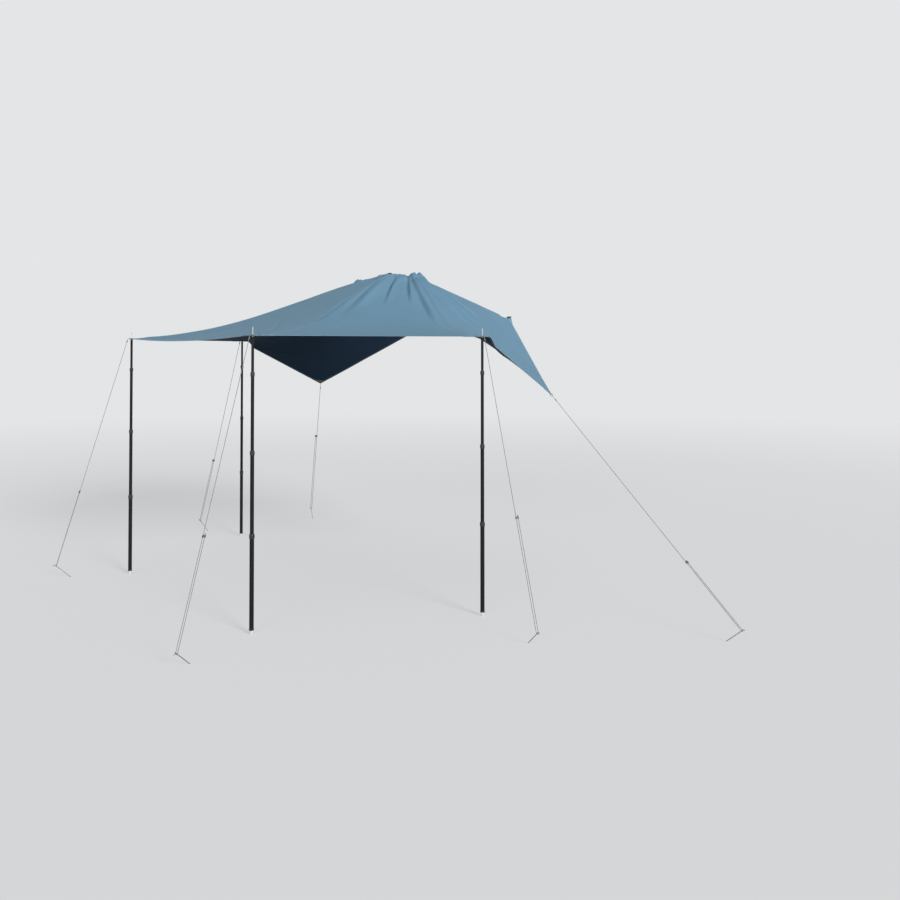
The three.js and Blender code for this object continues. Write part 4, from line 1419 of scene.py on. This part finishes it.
    def loop(self) -> bpy.types.Object:
        """The eye loop about the pin or through the wing tip: a circle carried round a circle.

        Returns:
            The ring, closed on itself.
        """
        side = unit(self.leaving - self.loop_axis * float(self.leaving @ self.loop_axis))
        other = np.cross(self.loop_axis, side)
        angle = np.linspace(0.0, 2.0 * np.pi, self.loop_steps, endpoint=False)[:, None]
        line = self.loop_centre + (side * np.cos(angle) + other * np.sin(angle)) * LOOP_RADIUS
        ring_out = unit(line - self.loop_centre)
        turn = np.linspace(0.0, 2.0 * np.pi, self.cord_sides, endpoint=False)[None, :, None]
        section = np.cos(turn) * ring_out[:, None] + np.sin(turn) * self.loop_axis
        points = self.row(line[:, None] + section * CORD_RADIUS)
        faces = grid_faces(len(line), self.cord_sides, wrap=True, close=True).tolist()
        around = np.linspace(0.0, np.pi * 2 * CORD_RADIUS, self.cord_sides)
        length = np.linspace(0.0, 2 * np.pi * LOOP_RADIUS, len(line))
        made = mesh_object(f"{self.name}_guy_eye", points, faces, uv_grid(around, length))
        outward(made)
        return made

    def build(self) -> None:
        """Makes the cord and its knots, and puts them on their bodies."""
        path, reference = self.main_path()
        leg_line, leg_reference = self.return_path()
        cord = swept(f"{self.name}_guy_cord", path, np.full(len(path), CORD_RADIUS), reference,
                     self.cord_sides)
        leg = swept(f"{self.name}_guy_return", leg_line, np.full(len(leg_line), CORD_RADIUS),
                    leg_reference, self.cord_sides)
        eye = self.loop()
        knot_place = self.run_start + self.along * self.knot_reach
        knot = self.coil(f"{self.name}_guy_eye_knot", knot_place, *self.eye_wraps)
        stopper_place = self.leg_start - self.along * self.leg_length()
        stopper = self.coil(f"{self.name}_guy_stopper", stopper_place, *self.stopper_wraps)
        for piece in (cord, leg, eye, knot, stopper):
            self.dresser.dress(piece, GUY_BRAID)
        for piece in (cord, leg, eye, knot):
            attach(piece, ROOT)
        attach(stopper, f"{self.name}_slider")
        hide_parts(f"{self.name}_guy")
        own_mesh(leg)


# Hard parts


@dataclass
class Poles:
    """The four telescopic poles: their CAD nodes get their finishes."""

    nodes: dict[str, bpy.types.Object]
    dresser: Dresser
    names: tuple[str, ...] = ("rear_outer", "front_outer", "rear_inner", "front_inner")

    def build(self) -> None:
        """Dresses tubes, collars, feet and eyelets."""
        for name in self.names:
            for stage in Stage:
                coat = TIP_COAT if stage is Stage.TIP else POLE_COAT
                self.dresser.dress_solid(self.nodes[f"{name}_pole_{stage.value}_tube"], coat)
                if stage is not Stage.TIP:
                    self.dresser.dress_solid(self.nodes[f"{name}_pole_{stage.value}_collar"], COLLAR_NYLON)
            self.dresser.dress_solid(self.nodes[f"{name}_pole_foot"], FOOT_NYLON)
            self.dresser.dress_solid(self.nodes[f"{name}_eyelet"], EYELET_PLATE)
        log.info("poles: %d dressed", len(self.names))


@dataclass
class Fittings:
    """Sliders, pegs and hooks: their CAD nodes get their finishes."""

    nodes: dict[str, bpy.types.Object]
    dresser: Dresser
    # each fitting's finish, by a part of its node's name
    finishes: tuple[tuple[str, Finish], ...] = (
        ("_guy_slider", SLIDER_NYLON), ("_guy_peg", PEG_STEEL), ("_hook_", HOOK_NYLON),
    )

    def build(self) -> None:
        """Dresses every slider, peg and hook."""
        for name, shown in self.nodes.items():
            for part, finish in self.finishes:
                if part in name:
                    self.dresser.dress_solid(shown, finish)
        log.info("sliders, pegs and hooks dressed")


# Studio


@dataclass
class Studio:
    """The floor, the lamps, the world and the camera at the photograph's place."""

    camera_place: tuple[float, float, float] = (6.638, -4.590, 2.0)
    look: tuple[float, float, float] = (-0.7473, 0.6642, 0.0193)
    # the lens and the sensor's width in millimetres
    lens: float = 34.4
    sensor: float = 36.0
    shift_y: float = -0.127
    sight: float = 1000.0
    # half the floor's width, and how far it lies below the ground that feet and pegs stand on
    floor_reach: float = 400.0
    floor_drop: float = 0.0005
    # the backdrop's share of the floor near the middle, and the distances over which it grows to 1
    near_share: float = 0.62
    blend: tuple[float, float] = (4.0, 22.0)
    backdrop: str = "#e4e5e6"
    floor_grey: str = "#d9dada"
    sky: str = "#eef1f4"
    sky_strength: float = 0.15
    # each sun's name, strength, width in degrees and the way its light travels
    suns: tuple[tuple[str, float, float, tuple[float, float, float]], ...] = (
        ("key", 3.5, 18.0, (-0.925, 0.065, -0.375)),
        ("front", 1.2, 30.0, (-0.485, 0.840, -0.242)),
        ("top", 0.2, 40.0, (-0.2, 0.1, -1.0)),
    )

    def camera(self) -> None:
        """A camera at standing height, tilted a degree up and its frame shifted down."""
        data = bpy.data.cameras.new("camera")
        data.lens = self.lens
        data.sensor_width = self.sensor
        data.shift_y = self.shift_y
        data.clip_end = self.sight
        shown = bpy.data.objects.new("camera", data)
        turn = Vector(self.look).to_track_quat("-Z", "Y").to_matrix().to_4x4()
        shown.matrix_world = Matrix.Translation(self.camera_place) @ turn
        bpy.context.scene.collection.objects.link(shown)
        bpy.context.scene.camera = shown

    def floor(self) -> None:
        """A wide floor with the shadows near the awning, which the camera sees fade to the backdrop."""
        signs = np.array([[-1.0, -1.0], [1.0, -1.0], [1.0, 1.0], [-1.0, 1.0]])
        corners = np.column_stack([signs * self.floor_reach, np.full(4, -self.floor_drop)])
        shown = mesh_object("floor", corners, [[0, 1, 2, 3]])
        material = bpy.data.materials.new("floor")
        material.use_nodes = True
        tree = material.node_tree
        shader = tree.nodes["Principled BSDF"]
        fill(tree, shader, {"Base Color": self.floor_grey, "Roughness": 0.9, "Specular IOR Level": 0.0})
        glow = node(tree, "ShaderNodeEmission", {"Color": self.backdrop, "Strength": 1.0})
        seen = node(tree, "ShaderNodeLightPath").outputs["Is Camera Ray"]
        place = node(tree, PLACE).outputs["Object"]
        away = node(tree, "ShaderNodeVectorMath", {0: place}, operation="LENGTH").outputs[1]
        share = node(tree, RANGE, {"Value": away, "From Min": self.blend[0], "From Max": self.blend[1],
                                   "To Min": self.near_share, "To Max": 1.0},
                     interpolation_type="SMOOTHSTEP")
        part = node(tree, MATH, {0: seen, 1: share}, operation="MULTIPLY")
        mix = node(tree, "ShaderNodeMixShader", {0: part, 1: shader, 2: glow})
        fill(tree, tree.nodes["Material Output"], {0: mix})
        shown.data.materials.append(material)

    def lamp(self, name: str, strength: float, angle: float, way: tuple[float, float, float]) -> None:
        """A wide soft sun.

        Args:
            name: its name.
            strength: its strength.
            angle: how wide it is, in degrees.
            way: the way its light travels.
        """
        data = bpy.data.lights.new(name, "SUN")
        data.energy = strength
        data.angle = math.radians(angle)
        shown = bpy.data.objects.new(name, data)
        shown.rotation_mode = "QUATERNION"
        shown.rotation_quaternion = Vector(way).to_track_quat("-Z", "Y")
        bpy.context.scene.collection.objects.link(shown)

    def world(self) -> None:
        """An even pale world, shown as pale grey to the camera, to gloss and through glass."""
        world = bpy.data.worlds.new("studio")
        bpy.context.scene.world = world
        world.use_nodes = True
        tree = world.node_tree
        tree.nodes.clear()
        ray = node(tree, "ShaderNodeLightPath")
        glossy, through = ray.outputs["Is Glossy Ray"], ray.outputs["Is Transmission Ray"]
        shine = node(tree, MATH, {0: glossy, 1: through}, operation="ADD")
        seen = node(tree, MATH, {0: ray.outputs["Is Camera Ray"], 1: shine}, operation="ADD", use_clamp=True)
        light = node(tree, "ShaderNodeBackground", {"Color": self.sky, "Strength": self.sky_strength})
        back = node(tree, "ShaderNodeBackground", {"Color": self.backdrop, "Strength": 1.0})
        mix = node(tree, "ShaderNodeMixShader", {0: seen, 1: light, 2: back})
        node(tree, "ShaderNodeOutputWorld", {0: mix})

    def build(self) -> None:
        """Sets up the whole studio."""
        bpy.context.scene.view_settings.view_transform = "Standard"
        self.camera()
        self.floor()
        self.world()
        for sun in self.suns:
            self.lamp(*sun)


# The whole scene


def main() -> None:
    """Builds the scene's pieces in order."""
    logging.basicConfig(level=logging.INFO, format="%(name)s: %(message)s")
    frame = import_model()
    nodes = frame["nodes"]
    Studio().build()
    dresser = Dresser()
    shape = ClothShape()
    mirror = np.array([-1.0, 1.0, 1.0])
    reaches = {j["name"]: j["range_m"][1] for j in frame["joints"] if j["name"].endswith("slider_slide")}
    # each guy's head, its way out to the peg and the share of its run at which the slider sits
    for name, head, out, share in (
        ("rear_outer", shape.outer_pole * mirror, (-0.305, -0.540), 0.68),
        ("front_outer", shape.outer_pole, (0.305, -0.690), 0.66),
        ("rear_inner", shape.inner_pole * mirror, (-0.615, -0.180), 0.66),
        ("front_inner", shape.inner_pole, (0.765, -0.220), 0.64),
        ("rear_wing", shape.wing_tip * mirror, (-0.550, 0.230), 0.4),
        ("front_wing", shape.wing_tip, (1.780, -0.070), 0.75),
    ):
        GuyLine(name, head, out, share, reaches[f"{name}_slider_slide"], shape, dresser, nodes).build()
    Canopy(shape, dresser).build()
    Poles(nodes, dresser).build()
    Fittings(nodes, dresser).build()


if __name__ == "__main__":
    main()
